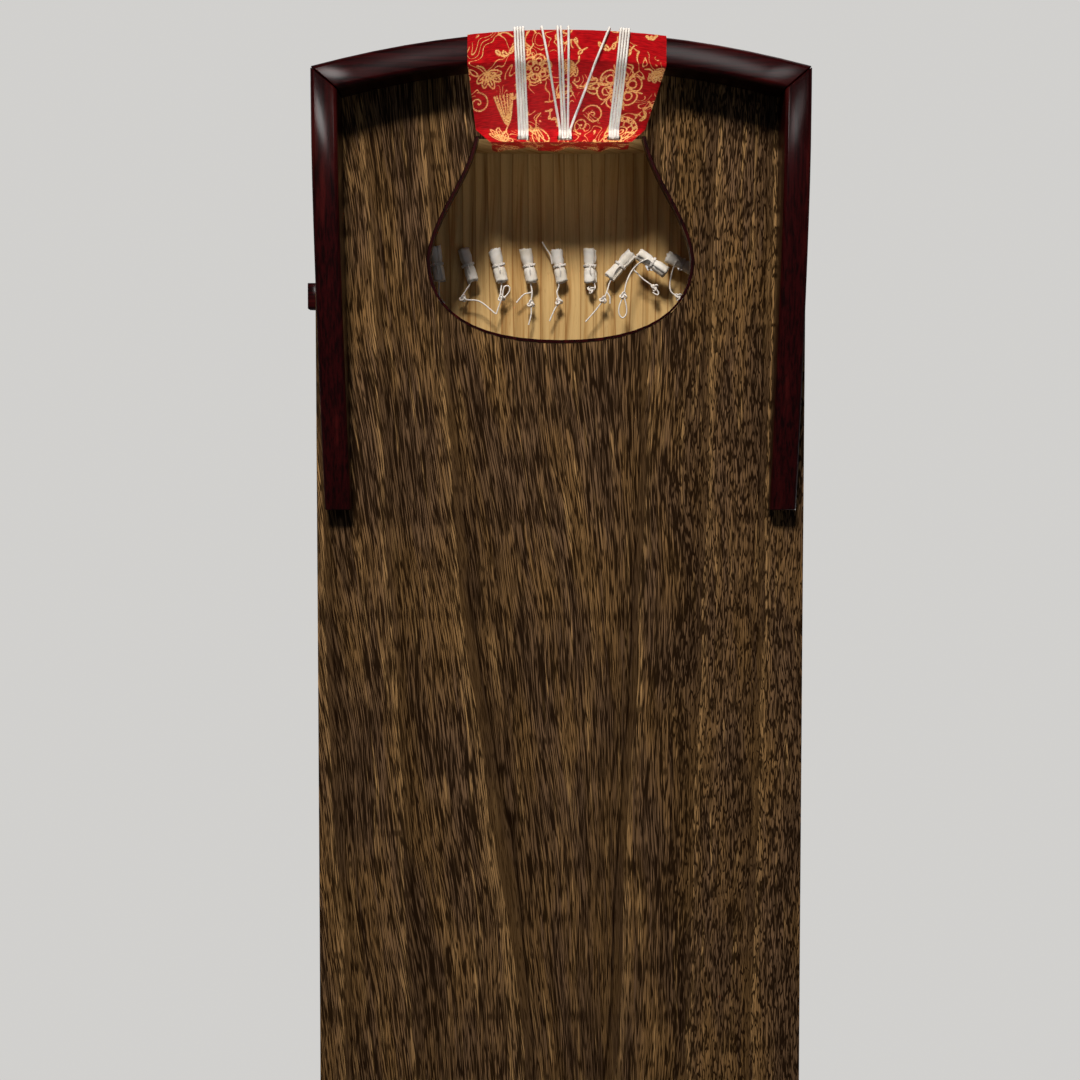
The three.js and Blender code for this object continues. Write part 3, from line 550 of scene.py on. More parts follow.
# Cords. A route is smoothed into points an even step apart, and a twisted cord follows it, all in millimetres.
def smoothRoute(points, step):
    route = [Vector(p) for p in points]
    ends = [route[0] * 2 - route[1], *route, route[-1] * 2 - route[-2]]
    fine = []
    for before, start, end, after in zip(ends, ends[1:], ends[2:], ends[3:]):
        pull = (end - start).length
        inward = (end - before).normalized() * pull / 3
        outward = (after - start).normalized() * pull / 3
        for k in range(12):
            t = k / 12
            a, b, c, d = (1 - t) ** 3, 3 * t * (1 - t) ** 2, 3 * t * t * (1 - t), t**3
            fine.append(a * start + b * (start + inward) + c * (end - outward) + d * end)
    fine.append(route[-1])
    lengths = [0.0]
    for p, q in zip(fine, fine[1:]):
        lengths.append(lengths[-1] + (q - p).length)
    total = lengths[-1]
    count = max(2, round(total / step))
    made, k = [], 0
    for i in range(count + 1):
        want = total * i / count
        while k < len(fine) - 2 and lengths[k + 1] < want:
            k += 1
        span = max(lengths[k + 1] - lengths[k], 1e-9)
        made.append(fine[k].lerp(fine[k + 1], min(1.0, (want - lengths[k]) / span)))
    return made


def cordMesh(name, routes, radius, pitch=4.2, plies=3, sides=9, depth=0.07):
    section = bpy.data.curves.new(name + "_section", "CURVE")
    section.dimensions = "2D"
    outline = section.splines.new("POLY")
    outline.points.add(sides - 1)
    for k, point in enumerate(outline.points):
        angle = 2 * math.pi * k / sides
        reach = radius * 0.001 * (1 + depth * math.cos(plies * angle))
        point.co = (*polar(reach, angle), 0, 1)
    outline.use_cyclic_u = True
    sectionObject = bpy.data.objects.new(name + "_section", section)
    line = bpy.data.curves.new(name + "_line", "CURVE")
    line.dimensions = "3D"
    line.bevel_mode = "OBJECT"
    line.bevel_object = sectionObject
    line.use_fill_caps = True
    for route in routes:
        spline = line.splines.new("POLY")
        spline.points.add(len(route) - 1)
        run = 0.0
        for k, point in enumerate(spline.points):
            run += (route[k] - route[k - 1]).length if k else 0.0
            point.co = (*metres(route[k]), 1)
            point.tilt = 2 * math.pi * run / pitch if pitch else 0.0
    lineObject = bpy.data.objects.new(name + "_line", line)
    scene.collection.objects.link(lineObject)
    scene.collection.objects.link(sectionObject)
    bpy.context.view_layer.update()
    evaluated = lineObject.evaluated_get(bpy.context.evaluated_depsgraph_get())
    mesh = bpy.data.meshes.new_from_object(evaluated)
    for extra, data in ((lineObject, line), (sectionObject, section)):
        bpy.data.objects.remove(extra)
        bpy.data.curves.remove(data)
    bm = bmesh.new()
    bm.from_mesh(mesh)
    bmesh.ops.remove_doubles(bm, verts=bm.verts, dist=1e-6)
    bmesh.ops.recalc_face_normals(bm, faces=bm.faces)
    bm.to_mesh(mesh)
    bm.free()
    mesh.name = name
    return mesh


# Brocade wrapped over the end of the tail
cloth = {
    "offset": 0.7,
    "across": 240,
    "along": 400,
    "full": 48.0,
    "neck": 42.0,
    "crease": 35.0,
    "flap": 34.5,
    "skew": -2.8,
    "flapHeight": 25.0,
    "flapClearance": 2.05,
    "lipBack": 4.0,
    "lipCorner": 1.2,
    "lipDown": 5.0,
    "railWidth": 14.0,
    "railArch": 3.0,
    "railHalf": 121.0,
}


# The way round the tail at one distance across, at an offset off the wood, as x and z of each point
def wrapRoute(y, offset):
    c = cloth
    endX = tailEndX(y)
    railZ = c["railArch"] * (1 - (y / c["railHalf"]) ** 4)
    lipZ = topZ(endX, y)
    innerX = tailEndX(y, c["railWidth"])
    creaseX = koto["wallX"] + c["flapClearance"] + offset
    creaseZ = backZ(koto["wallX"]) - 0.35 - offset
    corner = 0.7 * offset
    route = [
        (endX + 30, topZ(endX + 30, y) + offset),
        (endX + 17, topZ(endX + 17, y) + offset),
        (endX + c["lipBack"], lipZ + offset),
        (endX + c["lipCorner"] - corner, lipZ - c["lipCorner"] + corner),
        (endX - offset, lipZ - c["lipDown"]),
        (endX - offset, (lipZ + railZ) / 2),
        (endX - offset, railZ + 3.5),
        (endX + 0.1 - corner, railZ + 0.1 - corner),
        (endX + 3.5, railZ - offset),
        (innerX, railZ - offset),
    ]
    for t in (0.33, 0.66, 1):
        route.append((mix(innerX, koto["wallX"] - 3, t), mix(railZ - offset, creaseZ, t)))
    return route, creaseX, creaseZ


bundles = {
    "left": {"first": 1, "lip": [22.39, 21.07, 19.74, 18.41], "crease": [20.5, 19.17, 17.84, 16.51]},
    "centre": {"first": 5, "lip": [9.4, 1.8, 0.2, -3.6, -23.4], "crease": [0.46, -0.87, -2.2, -3.53, -4.86]},
    "right": {"first": 10, "lip": [-28.81, -30.14, -31.47, -32.8], "crease": [-24.31, -25.64, -26.97, -28.3]},
}
strand = {"offset": 1.9, "radius": 0.62, "step": 0.6, "tuck": 1.25}


def turned(points, turn):
    c, s = math.cos(turn), math.sin(turn)
    return [(x * c - y * s, x * s + y * c) for x, y in points]


def ring(radius, count=40, squash=1.0, turn=0.0, lobes=0, depth=0.0, centre=(0, 0)):
    made = []
    for k in range(count + 1):
        a = 2 * math.pi * k / count
        r = radius * (1 + depth * abs(math.cos(lobes * a / 2))) if lobes else radius
        px, py = r * math.cos(a), r * squash * math.sin(a)
        made.append((px, py))
    return [(centre[0] + x, centre[1] + y) for x, y in turned(made, turn)]


def petal(length, width, turn, start=0.0, tip=0.6):
    made = []
    for k in range(21):
        t = k / 20
        side = math.sin(math.pi * t ** tip) * width / 2
        made.append((start + length * math.sin(math.pi * t / 2), side))
    return turned(made + [(x, -y) for x, y in reversed(made)], turn)


def peony(size):
    lines = [ring(size * 0.30, 40, lobes=5, depth=0.25, turn=0.7), ring(size * 0.12)]
    for k in range(6):
        turn = 2 * math.pi * k / 6
        lines.append(petal(size * 0.62, size * 0.66, turn, size * 0.30, 0.8))
        lines.append(petal(size * 0.36, size * 0.34, turn, size * 0.34, 0.8))
        away = turn + math.pi / 6
        lines.append([polar(size * r, away) for r in (0.75, 1.0)])
    return lines


def fern(size):
    lines = []
    for k in range(9):
        turn = (k - 4) * 0.13
        reach = size * 0.55 * math.sin(turn * 3)
        lines.append([(reach * t**0.6, size * (0.9 - 1.9 * t)) for t in (j / 8 for j in range(9))])
    lines.append([(0, size * 0.9), (size * 0.2, size * 1.2), (size * 0.55, size * 1.25)])
    return lines


def leafSpray(size):
    lines = []
    for turn in (-1.1, -0.55, 0.0, 0.55, 1.1):
        lines.append(petal(size * (1 - 0.22 * abs(turn)), size * 0.34, turn + math.pi / 2, size * 0.05))
        reach = size * (0.8 - 0.2 * abs(turn))
        lines.append([(0, 0), (-reach * math.sin(turn), reach * math.cos(turn))])
    lines.append([(0, 0), (size * 0.1, -size * 0.4), (size * 0.35, -size * 0.62)])
    return lines


def tulip(size):
    lines = [petal(size, size * 0.42, math.pi / 2 + turn, 0.0, 0.8) for turn in (-0.5, 0.0, 0.5)]
    lines.append([(0, 0), (-size * 0.1, -size * 0.5), (-size * 0.4, -size * 0.75)])
    return lines


def medallion(size):
    lines = [ring(size * 0.95), ring(size * 0.7), ring(size * 0.34), ring(size * 0.14)]
    for k in range(14):
        a = 2 * math.pi * k / 14
        lines.append(ring(size * 0.07, 8, centre=polar(size * 0.82, a)))
    for k in range(8):
        a = 2 * math.pi * k / 8
        lines.append([polar(size * r, a) for r in (0.38, 0.66)])
    return lines


def swirl(size, turns=1.6):
    made = []
    for k in range(50):
        t = k / 49
        made.append(polar(size * t, 2 * math.pi * turns * t))
    return [made]


def sprig(size):
    stem = []
    for k in range(25):
        t = k / 24
        stem.append((size * (t - 0.5) * 2, size * 0.22 * math.sin(3.2 * t * math.pi)))
    lines = [stem]
    for k in (3, 8, 13, 18, 22):
        x, y = stem[k]
        side = 1 if k % 2 else -1
        lines.append([(x + px, y + side * py) for px, py in petal(size * 0.34, size * 0.16, 1.1)])
    return lines


# Motifs on the flat cloth: kind, size, turn, and place, in millimetres across and along from the rail's inner edge
motifs = [
    (leafSpray, 9.0, 0.3, 39.0, 4.0),
    (fern, 9.0, 0.1, 30.5, 26.0),
    (swirl, 6.0, 0.9, 45.0, 20.0),
    (leafSpray, 8.5, 2.8, 38.0, 43.0),
    (tulip, 9.5, 0.2, 14.0, 36.0),
    (peony, 8.0, 0.3, 14.5, 4.5),
    (tulip, 8.0, 2.4, 3.0, 20.0),
    (leafSpray, 7.0, -0.9, -4.0, 3.0),
    (peony, 12.5, 0.4, -28.0, 13.0),
    (tulip, 7.5, 1.7, -10.0, 14.0),
    (swirl, 6.0, 2.2, -17.0, 29.0),
    (swirl, 4.6, 4.2, -11.5, 35.0),
    (medallion, 9.0, 0.0, -35.0, 37.0),
    (sprig, 9.0, 0.2, 25.0, -6.0),
    (sprig, 8.0, -0.25, -2.0, -8.0),
    (sprig, 8.5, 0.15, -24.0, -8.0),
    (leafSpray, 6.5, 0.9, -43.0, 2.0),
    (swirl, 4.2, 0.0, -1.0, 44.0),
    (sprig, 6.0, 1.3, 23.5, 14.0),
    (sprig, 5.5, 1.5, -45.0, 24.0),
    (sprig, 6.0, 0.6, -22.0, 45.0),
    (swirl, 3.8, 1.0, 22.5, 47.0),
    (sprig, 5.5, 2.4, 5.0, 31.0),
]
goldLine = {"half": 0.17, "soft": 0.28, "repeat": 62.0, "shift": 22.0}


# How much of each point of the flat cloth is gold: u across, v along from the rail's inner edge
def goldPattern(u, v):
    lap = 2 * cloth["full"]
    nearest = np.full(u.shape, 99.0)
    for kind, size, turn, cu, cv in motifs:
        for row in (-2, -1, 0, 1):
            shiftU = goldLine["shift"] * row
            centreU = (cu + shiftU + cloth["full"]) % lap - cloth["full"]
            centreV = cv + goldLine["repeat"] * row
            for aside in (-lap, 0, lap):
                du, dv = u - centreU - aside, v - centreV
                close = (abs(du) < size * 1.3) & (abs(dv) < size * 1.3)
                if not close.any():
                    continue
                pu = du[close] * math.cos(turn) + dv[close] * math.sin(turn)
                pv = -du[close] * math.sin(turn) + dv[close] * math.cos(turn)
                best = nearest[close]
                for line in kind(size):
                    for (ax, ay), (bx, by) in zip(line, line[1:]):
                        lx, ly = bx - ax, by - ay
                        along = (pu - ax) * lx + (pv - ay) * ly
                        t = np.clip(along / max(lx * lx + ly * ly, 1e-9), 0, 1)
                        best = np.minimum(best, np.hypot(pu - ax - t * lx, pv - ay - t * ly))
                nearest[close] = best
    return np.clip((goldLine["half"] + goldLine["soft"] - nearest) / goldLine["soft"], 0, 1)


def makeCloth():
    c = cloth
    columns, rows = c["across"], c["along"]
    mesh = bpy.data.meshes.new("tail_brocade")
    bm = bmesh.new()
    bmesh.ops.create_grid(bm, x_segments=columns, y_segments=rows, size=1.0)
    bm.verts.ensure_lookup_table()
    halves = [c["full"]] * 10 + [mix(c["full"], c["neck"], t) for t in (0.33, 0.66, 1)]
    stations = len(halves)
    halves += [c["crease"], c["flap"], c["flap"]]
    foldZ = backZ(koto["wallX"])
    routes = []
    for k in range(columns + 1):
        share = 2 * k / columns - 1
        points = []
        for r, half in enumerate(halves):
            y = half * share + c["skew"] * min(1.0, max(0.0, (12 - r) / 3))
            route, creaseX, creaseZ = wrapRoute(y, c["offset"])
            folded = [
                (creaseX + 0.6, creaseZ - 0.5),
                (creaseX - 0.4, creaseZ + 2.2),
                (creaseX, foldZ + c["flapHeight"]),
            ]
            x, z = route[r] if r < stations else folded[r - stations]
            points.append(Vector((x, y, z)))
        steps = [(q - p).length for p, q in zip(points, points[1:])]
        routes.append((points, np.concatenate([[0], np.cumsum(steps)])))
    lengths = routes[columns // 2][1]
    railMark = lengths[9]
    flat = bm.loops.layers.uv.new("flat")
    where = {}
    for vert in bm.verts:
        k = round((vert.co.x + 1) / 2 * columns)
        t = (vert.co.y + 1) / 2
        points, marks = routes[k]
        run = t * marks[-1]
        j = min(int(np.searchsorted(marks, run, side="right")) - 1, len(points) - 2)
        place = points[j].lerp(points[j + 1], (run - marks[j]) / (marks[j + 1] - marks[j]))
        u, v = (2 * k / columns - 1) * c["full"], t * lengths[-1] - railMark
        under = v - (lengths[stations] - railMark)
        if under > 0:
            hang = min(1.0, under / c["flapHeight"])
            place.x += hang * (0.7 * math.sin(u / 5.1) + 0.4 * math.sin(u / 2.3 + 1)) + 0.5 * hang * hang
            place.z += hang * (1.5 * math.sin(u / 7.3 + 0.6) + 0.6 * math.sin(u / 2.9) - 3.2)
        vert.co = metres(place)
        where[vert] = (u, v)
    for face in bm.faces:
        for loop in face.loops:
            loop[flat].uv = where[loop.vert]
    bmesh.ops.recalc_face_normals(bm, faces=bm.faces)
    middle = min(bm.faces, key=lambda f: (f.calc_center_median() - metres((koto["tailX"], 0, 50))).length)
    if middle.normal.x > 0:
        bmesh.ops.reverse_faces(bm, faces=bm.faces)
    slits = []
    for bundle in bundles.values():
        low, high = min(bundle["crease"]) - 1.1, max(bundle["crease"]) + 1.1
        for face in bm.faces:
            x, y, z = face.calc_center_median() * 1000
            near = abs(x - koto["wallX"] - strand["tuck"]) < 1.0 and z < foldZ
            if near and low < y < high:
                slits.append(face)
    bmesh.ops.delete(bm, geom=slits, context="FACES")
    spots = np.array([where[vert] for vert in bm.verts])
    bm.to_mesh(mesh)
    bm.free()
    gold = mesh.attributes.new("gold", "FLOAT", "POINT")
    gold.data.foreach_set("value", goldPattern(spots[:, 0], spots[:, 1]).astype(np.float32))
    obj = dress(shown("tail_brocade", mesh, 180), brocadeFinish, "root")
    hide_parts("tail_cloth")


makeCloth()


def strandRoute(bundle, k):
    holeX = koto["tailHoleX"] - 1.25
    holeY = stringY(bundle["first"] + k, koto["tailHoleX"])
    lipY, creaseY = bundle["lip"][k], bundle["crease"][k]
    off = strand["offset"]
    points = [
        (holeX, holeY, topZ(holeX, holeY) - 10),
        (holeX, holeY, topZ(holeX, holeY) + 0.6),
        (holeX - 2.5, holeY, topZ(holeX, holeY) + off),
    ]
    wrap = wrapRoute(lipY, off)[0]
    for t in (0.35, 0.7):
        x, y = mix(holeX - 2.5, wrap[2][0], t), mix(holeY, lipY, t)
        points.append((x, y, topZ(x, y) + off))
    start, finish = wrap[4][0], koto["wallX"] - 3
    for r in range(2, 13):
        y = lipY
        for _ in range(3):  # y and x settle on each other
            share = max(0.0, wrapRoute(y, off)[0][r][0] - start) / (finish - start) if r > 4 else 0.0
            y = mix(lipY, creaseY, share)
        x, z = wrapRoute(y, off)[0][r]
        points.append((x, y, z))
    tuckX, rimZ = koto["wallX"] + strand["tuck"], backZ(koto["wallX"])
    points.append((tuckX - 1, creaseY, rimZ - 0.35 - off))
    points.append((tuckX, creaseY, rimZ - 0.8))
    points.append((tuckX, creaseY, rimZ + 7))
    return points


def makeStrands():
    for name, bundle in bundles.items():
        routes = [smoothRoute(strandRoute(bundle, k), strand["step"]) for k in range(len(bundle["lip"]))]
        mesh = cordMesh(f"spare_strands_{name}_twisted", routes, strand["radius"])
        obj = dress(shown(mesh.name, mesh, 60), cordFinish, "root")
        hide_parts(f"spare_strands_{name}")


makeStrands()
print("spare strands laid")


# Rolled cloth anchors, with the string ends knotted under them
roll = {
    "length": 18.5, "radius": 3.45, "core": 0.5, "waist": 0.8, "turns": 3.2, "slack": 1.16, "seat": 3.6,
    "across": 60, "along": 16, "thickness": 0.28, "wrinkle": 0.32, "fray": 1.3, "fineFray": 0.5,
}
endCord = {"radius": 0.42, "pitch": 3.0, "step": 0.45, "knot": 0.62, "turns": 2.1, "shortest": 30.5}
# For each roll: its turn in degrees, how far it hangs below the top, and the free end of its string as points
# (towards the head, to the right, down) from the middle of the roll. The third point is the knot.
rollLie = {
    1: {"turn": -6, "drop": 1.5, "tail": [(10, 1, 0), (15, -2, 1), (20, 2, 1), (28, 6, 1)]},
    2: {"turn": 9, "drop": 0, "tail": [(10, 0, 0), (16, 3, 1), (21, 1, 1), (30, -3, 1)]},
    3: {"turn": -8, "drop": 0, "tail": [(10, 1, 0), (14, 1, 1), (20, 2, 1), (26, 5, 1), (31, 8, 1)]},
    4: {"turn": -17, "drop": 0, "tail": [
        (10, 1, 1), (14, -1.5, 1.5), (17.5, -2.5, 1.5), (19, 6, 1.2), (25.5, 14.5, 1),
    ]},
    5: {"turn": -14, "drop": 0, "tail": [
        (10, 1.6, 0.5), (13.5, 1.2, 1.4), (17, 1.6, 1.2), (14.6, 5.0, 1.0), (11.4, 5.8, 1.2), (11.2, 3.2, 2.2),
        (16.6, 2.0, 2.4), (21, 0.4, 1.4), (25.5, -1.2, 1),
    ]},
    6: {"turn": -12, "drop": 0, "tail": [(10, 1, 1), (14, 1.6, 1.5), (20, 1, 1.5), (25, 1.2, 1.2), (31, -0.2, 1)]},
    7: {"turn": -10, "drop": 0, "tail": [
        (11, -0.4, 1), (14, -1.3, 1.5), (18.7, -0.3, 1.5), (23, -2.6, 1.2), (29, -5.2, 1),
    ]},
    8: {"turn": -1, "drop": 0, "tail": [
        (10, 2.6, 0), (12, 2.6, 0.6), (12.6, 0.6, 0.4), (11, -0.8, -0.8), (10.5, 0.6, -1.6),
    ]},
    9: {"turn": 43, "drop": 0, "tail": [
        (9, -5.6, 1), (14, -7.2, 1.5), (18, -9, 1.5), (23, -12.6, 1.2), (29.6, -18.3, 1),
    ]},
    10: {"turn": -56, "drop": 7.6, "tail": [
        (2, -9, 0), (9, -13, 1), (16.8, -14.9, 1.5), (21.5, -16.8, 1.4), (25.6, -17.2, 1.3), (28.2, -15.4, 1.2),
        (26.2, -13.4, 1.4), (22, -13.4, 1.8), (18.2, -14.4, 2.2),
    ]},
    11: {"turn": -63, "drop": 0, "tail": [
        (7, -6, 0), (14, -6, 1), (17, -2, 1.5), (18.5, 1.5, 1.2), (16, 4.5, 1), (11, 3, 1),
    ]},
    12: {"turn": -12, "drop": 0, "tail": [(10, 0, 0), (16, -3, 1), (21, -2, 1), (30, 2, 1)]},
    13: {"turn": 6, "drop": 1.5, "tail": [(10, 0, 0), (15, 2, 1), (20, 0, 1), (29, -3, 1)]},
}


# Loose ends beside the rolls, measured the same way
looseEnds = [
    {"roll": 7, "knotted": False, "points": [(-1, -3.8, 0.6), (-5.6, -4.8, 0.9), (-9, -7, 0.6), (-12.5, -9, 0)]},
    {"roll": 6, "knotted": False, "points": [(14, 1.6, 1.5), (15, -2.4, 1.4), (17, -4.6, 1.2), (19.4, -6.6, 1)]},
    {"roll": 9, "knotted": False, "points": [(14, -7.2, 1.5), (16.6, -5.6, 1.4), (20, -5.4, 1)]},
    {"roll": 10, "knotted": True, "points": [
        (3, -9.2, -4), (8, -4, -4.4), (12, 1.6, -4.6), (15.6, 3.6, -4.8), (14.6, 0.6, -4.8),
    ]},
]


def rollPlace(number):
    lie = rollLie[number]
    x = koto["tailHoleX"]
    y = stringY(number, x)
    turn = math.radians(lie["turn"])
    reach = roll["length"] / 2 * abs(math.sin(turn)) + roll["seat"] * math.cos(turn)
    z = cavityTopZ(x, abs(y) + reach) - 2 * koto["seatGap"] - roll["seat"] - lie["drop"]
    return Vector((x, y, z)), turn


def makeRoll(number):
    centre, turn = rollPlace(number)
    bm = bmesh.new()
    bmesh.ops.create_grid(bm, x_segments=roll["across"], y_segments=roll["along"], size=1.0)
    for vert in bm.verts:
        s, t = (vert.co.x + 1) / 2, vert.co.y
        angle = 2 * math.pi * roll["turns"] * s + number
        radius = mix(roll["core"], roll["radius"] - roll["thickness"] / 2, s**0.72)
        nip = 1 - roll["waist"] / roll["radius"] * math.exp(-((t * 5.2) ** 2))
        flare = 1 + 0.02 * t * t
        ragged = roll["fray"] * noise.noise(Vector((s * 9, number * 3.1, t * 2)))
        ragged += roll["fineFray"] * noise.noise(Vector((s * 31, number, t)))
        wrinkle = roll["wrinkle"] * noise.noise(Vector((angle * 1.4, t * 3, number)))
        r = (radius + wrinkle) * nip * flare
        x = t * (roll["length"] / 2 - 0.5) + ragged * abs(t) ** 6
        vert.co = Vector((x, *polar(r, angle)))
    place = Matrix.Scale(0.001, 4) @ Matrix.Translation(centre) @ Matrix.Rotation(turn, 4, "Z")
    bmesh.ops.transform(bm, matrix=place, verts=bm.verts)
    bmesh.ops.recalc_face_normals(bm, faces=bm.faces)
    mesh = bpy.data.meshes.new(f"anchor_roll_{number:02d}_cloth")
    bm.to_mesh(mesh)
    bm.free()
    obj = dress(shown(mesh.name, mesh, 70), cottonFinish, "root")
    thick = obj.modifiers.new("thickness", "SOLIDIFY")
    thick.thickness = roll["thickness"] * 0.001
    thick.offset = 0
    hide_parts(f"anchor_roll_{number:02d}")


# An overhand knot pulled small, lying along a heading
def knotRoute(centre, size, heading):
    made = []
    for k in range(64):
        a = 2 * math.pi * k / 64
        p = Vector((math.sin(a) + 2 * math.sin(2 * a), math.cos(a) - 2 * math.cos(2 * a), -1.4 * math.sin(3 * a)))
        made.append(centre + heading @ (p * size))
    return made


def makeEndCord(name, route, **settings):
    mesh = cordMesh(name, [route], endCord["radius"], **settings)
    return dress(shown(mesh.name, mesh, 60), cordFinish, "root")


def makeKnot(name, before, at):
    heading = (at - before).to_track_quat("Y", "Z").to_matrix()
    return makeEndCord(name, knotRoute(at, endCord["knot"], heading), pitch=0, sides=8)


def hung(centre, points):
    return [centre + Vector((down, -right, -low)) for down, right, low in points]


def makeStringEnd(number):
    centre, turn = rollPlace(number)
    grip = roll["radius"] - roll["waist"] + 0.5
    winding = []
    for k in range(44):
        a = 2 * math.pi * endCord["turns"] * k / 43 + 1.0
        winding.append(Vector((mix(-0.55, 0.55, k / 43), *polar(grip, a))))
    place = Matrix.Translation(centre) @ Matrix.Rotation(turn, 4, "Z")
    winding = [place @ p for p in winding]
    tail = hung(centre, rollLie[number]["tail"])
    side = 1 if (tail[0] - centre).dot(place.to_3x3() @ Vector((1, 0, 0))) > 0 else -1
    start = place @ Vector((0.6 * side, 0, -grip - 0.1))
    route = smoothRoute([start, place @ Vector((3.2 * side, 0, -grip - 0.5)), *tail], endCord["step"])
    makeEndCord(f"winding_{number:02d}", winding, pitch=endCord["pitch"])
    knotted = makeKnot(f"knot_{number:02d}", tail[1], tail[2])
    ended = makeEndCord(f"string_end_{number:02d}", route, pitch=endCord["pitch"])
    length = sum((q - p).length for p, q in zip(route, route[1:]))
    if length < endCord["shortest"]:
        return  # a stub that is all knot
    print(f"string end {number}: {length:.0f} mm")


def makeLooseEnd(place, loose):
    points = hung(rollPlace(loose["roll"])[0], loose["points"])
    makeEndCord(f"loose_end_{place}", smoothRoute(points, endCord["step"]), pitch=endCord["pitch"])
    if loose["knotted"]:
        makeKnot(f"loose_knot_{place}", points[1], points[2])


for number in numbers:
    makeRoll(number)
    makeStringEnd(number)
for place, loose in enumerate(looseEnds, 1):
    makeLooseEnd(place, loose)
print("anchor rolls tied")


# Strings, each in two lengths that meet on its movable bridge
speakingLength = [888, 1330, 1185, 1118, 888, 838, 665, 592, 559, 444, 419, 332, 296]
string = {"radius": 0.55, "bridgeHeight": 52.0, "headHeight": 14.0, "tailHeight": 11.0, "step": 14.0}


def spread(a, b, step):
    count = max(1, round((b - a).length / step))
    return [a.lerp(b, k / count) for k in range(1, count + 1)]


def stringPoint(number, x, height):
    y = stringY(number, x)
    return Vector((x, y, topZ(x, y) + height))


def straightened(points, step):
    made = [points[0]]
    for a, b in zip(points, points[1:]):
        made += spread(a, b, step)
    return made


def makeString(number):
    over = koto["seatGap"] + string["radius"]
    holeX, topX = koto["headHoleX"], koto["headBridgeX"]
    b = topX - speakingLength[number - 1]
    crest = stringPoint(number, b, string["bridgeHeight"] + over)
    headTop, tailTop = string["headHeight"] + over, string["tailHeight"] + over
    headSide = [
        stringPoint(number, holeX, -18),
        stringPoint(number, holeX, -1),
        stringPoint(number, holeX - 1, 1.5),
        stringPoint(number, topX + 4, headTop - 0.5),
        stringPoint(number, topX + 1.5, headTop),
        stringPoint(number, topX - 1.5, headTop),
        Vector((b + 1.8, stringY(number, b + 1.8), crest.z)),
        crest,
    ]
    tailSide = [
        crest,
        Vector((b - 1.8, stringY(number, b - 1.8), crest.z)),
        stringPoint(number, -786.6, tailTop),
        stringPoint(number, -789.6, tailTop),
        stringPoint(number, -791.6, tailTop - 0.6),
        stringPoint(number, -802.8, 1.5),
        stringPoint(number, -803.75, -1),
        stringPoint(number, -803.75, -12),
    ]
    holeY = stringY(number, holeX)
    coil = []
    for k in range(90):
        coil.append(Vector((mix(-5.5, 5.5, k / 89), *polar(2.1, k * 0.42))))
    coil = [Vector((holeX, holeY, cavityTopZ(holeX, holeY) - 4)) + p for p in coil]
    halves = {
        "head": [straightened(headSide, string["step"]), coil],
        "tail": [straightened(tailSide, string["step"])],
    }
    for side, routes in halves.items():
        name = f"string_{number:02d}_{side}_side"
        mesh = cordMesh(name, routes, string["radius"], pitch=0, sides=8, depth=0.0)
        obj = dress(shown(name, mesh, 60), cordFinish, None)
        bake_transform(obj)
        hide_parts(f"string_{number:02d}")


def makeBridges():
    for number in numbers:
        node = f"bridge_{number:02d}"
        mergedCopy(node, node + "_ivory", ivoryFinish, body=node, edge=fineEdge)


for number in numbers:
    makeString(number)
makeBridges()
print("strings and bridges made")


# Floor, backdrop and studio light
backdrop = colour(0.80, 0.79, 0.77)
lamps = {
    "key": {"at": (-2.15, 0.24, -1.45), "aim": (-0.70, 0.0, 0.03), "size": 0.42, "watts": 45,
            "tone": (1.0, 0.93, 0.84), "hide": "glossy"},
    "fill": {"at": (-0.2, -0.9, -1.9), "aim": (-0.66, 0.0, 0.03), "size": 1.6, "watts": 2,
             "tone": (0.95, 0.97, 1.0), "hide": "glossy"},
    "gleamLeft": {"at": (-1.23, 0.28, -1.45), "aim": (-0.89, 0.1, 0.0), "size": 0.24, "watts": 2.0,
                  "tone": (1.0, 0.97, 0.95), "hide": "diffuse"},
    "gleamRight": {"at": (-1.24, -0.20, -1.45), "aim": (-0.90, -0.08, 0.0), "size": 0.26, "watts": 0.9,
                   "tone": (1.0, 0.97, 0.95), "hide": "diffuse"},
    "lapLamp": {"at": (-0.790, 0.0, -0.105), "aim": (-0.873, 0.0, 0.018), "size": 0.09, "watts": 0.0077,
                "tone": (1.0, 0.94, 0.88), "hide": "glossy", "wide": 0.05, "spread": 14},
    "neckLamp": {"at": (-0.838, 0.0, 0.034), "aim": (-0.880, 0.0, 0.050), "size": 0.04, "watts": 0.0022,
                 "tone": (1.0, 0.82, 0.56), "hide": "glossy"},
    "headSide": {"at": (2.6, -0.7, 1.1), "aim": (0.7, 0.0, 0.08), "size": 1.4, "watts": 12,
                 "tone": (1.0, 0.97, 0.94)},
    "tailSide": {"at": (-2.4, -0.9, 1.0), "aim": (-0.7, 0.0, 0.06), "size": 1.4, "watts": 10,
                 "tone": (1.0, 0.98, 0.95)},
}
suns = {
    "sunOver": {"way": (-0.35, 0.50, -0.80), "strength": 2.1, "angle": 24, "tone": (1.0, 0.975, 0.94)},
    "sunBack": {"way": (0.45, -0.45, -0.62), "strength": 1.0, "angle": 50, "tone": (0.95, 0.97, 1.0)},
}


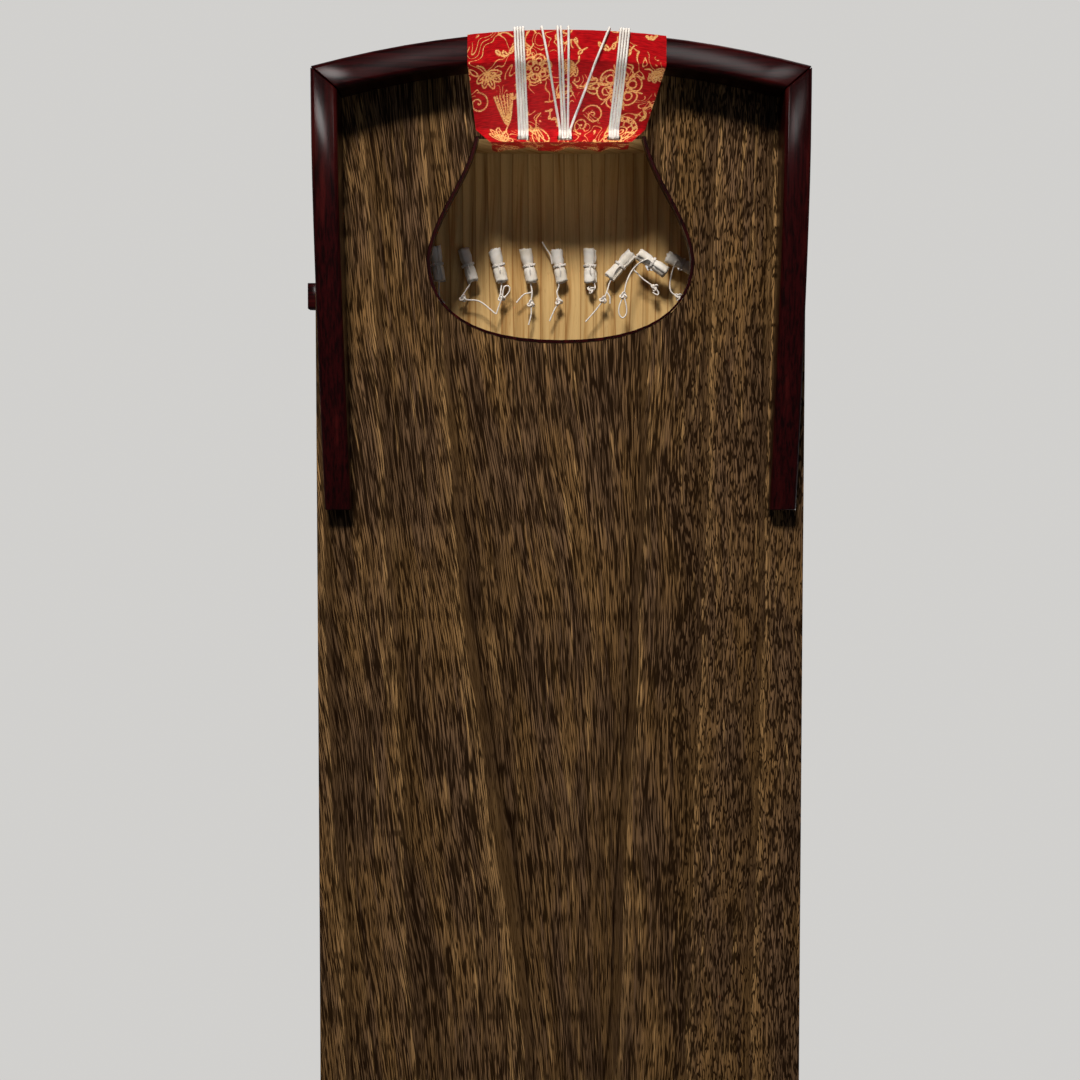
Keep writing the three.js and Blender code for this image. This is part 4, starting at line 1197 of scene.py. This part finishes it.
def makeLamp(name, spec):
    data = bpy.data.lights.new(name, "AREA")
    data.shape = "RECTANGLE" if "wide" in spec else "DISK"
    data.size = spec["size"]
    if "wide" in spec:
        data.size_y = spec["wide"]
        data.spread = math.radians(spec["spread"])
    data.energy = spec["watts"]
    data.color = spec["tone"]
    lamp = bpy.data.objects.new(name, data)
    lamp.location = spec["at"]
    lamp.rotation_euler = (Vector(spec["aim"]) - Vector(spec["at"])).to_track_quat("-Z", "Y").to_euler()
    lamp.visible_camera = False
    if "hide" in spec:
        setattr(lamp, "visible_" + spec["hide"], False)
    scene.collection.objects.link(lamp)


def makeSun(name, spec):
    data = bpy.data.lights.new(name, "SUN")
    data.energy = spec["strength"]
    data.angle = math.radians(spec["angle"])
    data.color = spec["tone"]
    lamp = bpy.data.objects.new(name, data)
    lamp.rotation_euler = Vector(spec["way"]).to_track_quat("-Z", "Y").to_euler()
    scene.collection.objects.link(lamp)


# The floor is clear from below, and only the camera sees it, so the underside can be looked at and lit.
def makeFloor():
    mesh = bpy.data.meshes.new("floor")
    bm = bmesh.new()
    bmesh.ops.create_grid(bm, x_segments=1, y_segments=1, size=60.0)
    bm.to_mesh(mesh)
    bm.free()
    floor = bpy.data.objects.new("floor", mesh)
    scene.collection.objects.link(floor)
    finish, tree, skin = newFinish("paleFloor", Roughness=0.8)
    skin.inputs["Base Color"].default_value = backdrop
    clear = put(tree, "BsdfTransparent")
    behind = put(tree, "NewGeometry").outputs["Backfacing"]
    both = put(tree, "MixShader", {0: behind, 1: skin.outputs[0], 2: clear.outputs[0]})
    feed(tree, tree.nodes["Material Output"].inputs["Surface"], both.outputs[0])
    mesh.materials.append(finish)
    for kind in ("shadow", "diffuse", "glossy", "transmission"):
        setattr(floor, "visible_" + kind, False)


def makeWorld():
    world = bpy.data.worlds.new("studio")
    world.use_nodes = True
    tree = world.node_tree
    tree.nodes.clear()
    seen = put(tree, "LightPath").outputs["Is Camera Ray"]
    plain = put(tree, "Background", {"Color": backdrop, "Strength": 0.8})
    soft = put(tree, "Background", {"Color": colour(0.95, 0.96, 1.0), "Strength": 0.045})
    both = put(tree, "MixShader", {0: seen, 1: soft.outputs[0], 2: plain.outputs[0]})
    put(tree, "OutputWorld", {"Surface": both.outputs[0]})
    scene.world = world


makeFloor()
makeWorld()
for lampName, lampSpec in lamps.items():
    makeLamp(lampName, lampSpec)
for sunName, sunSpec in suns.items():
    makeSun(sunName, sunSpec)
scene.view_settings.view_transform = "Standard"
print("studio lit")
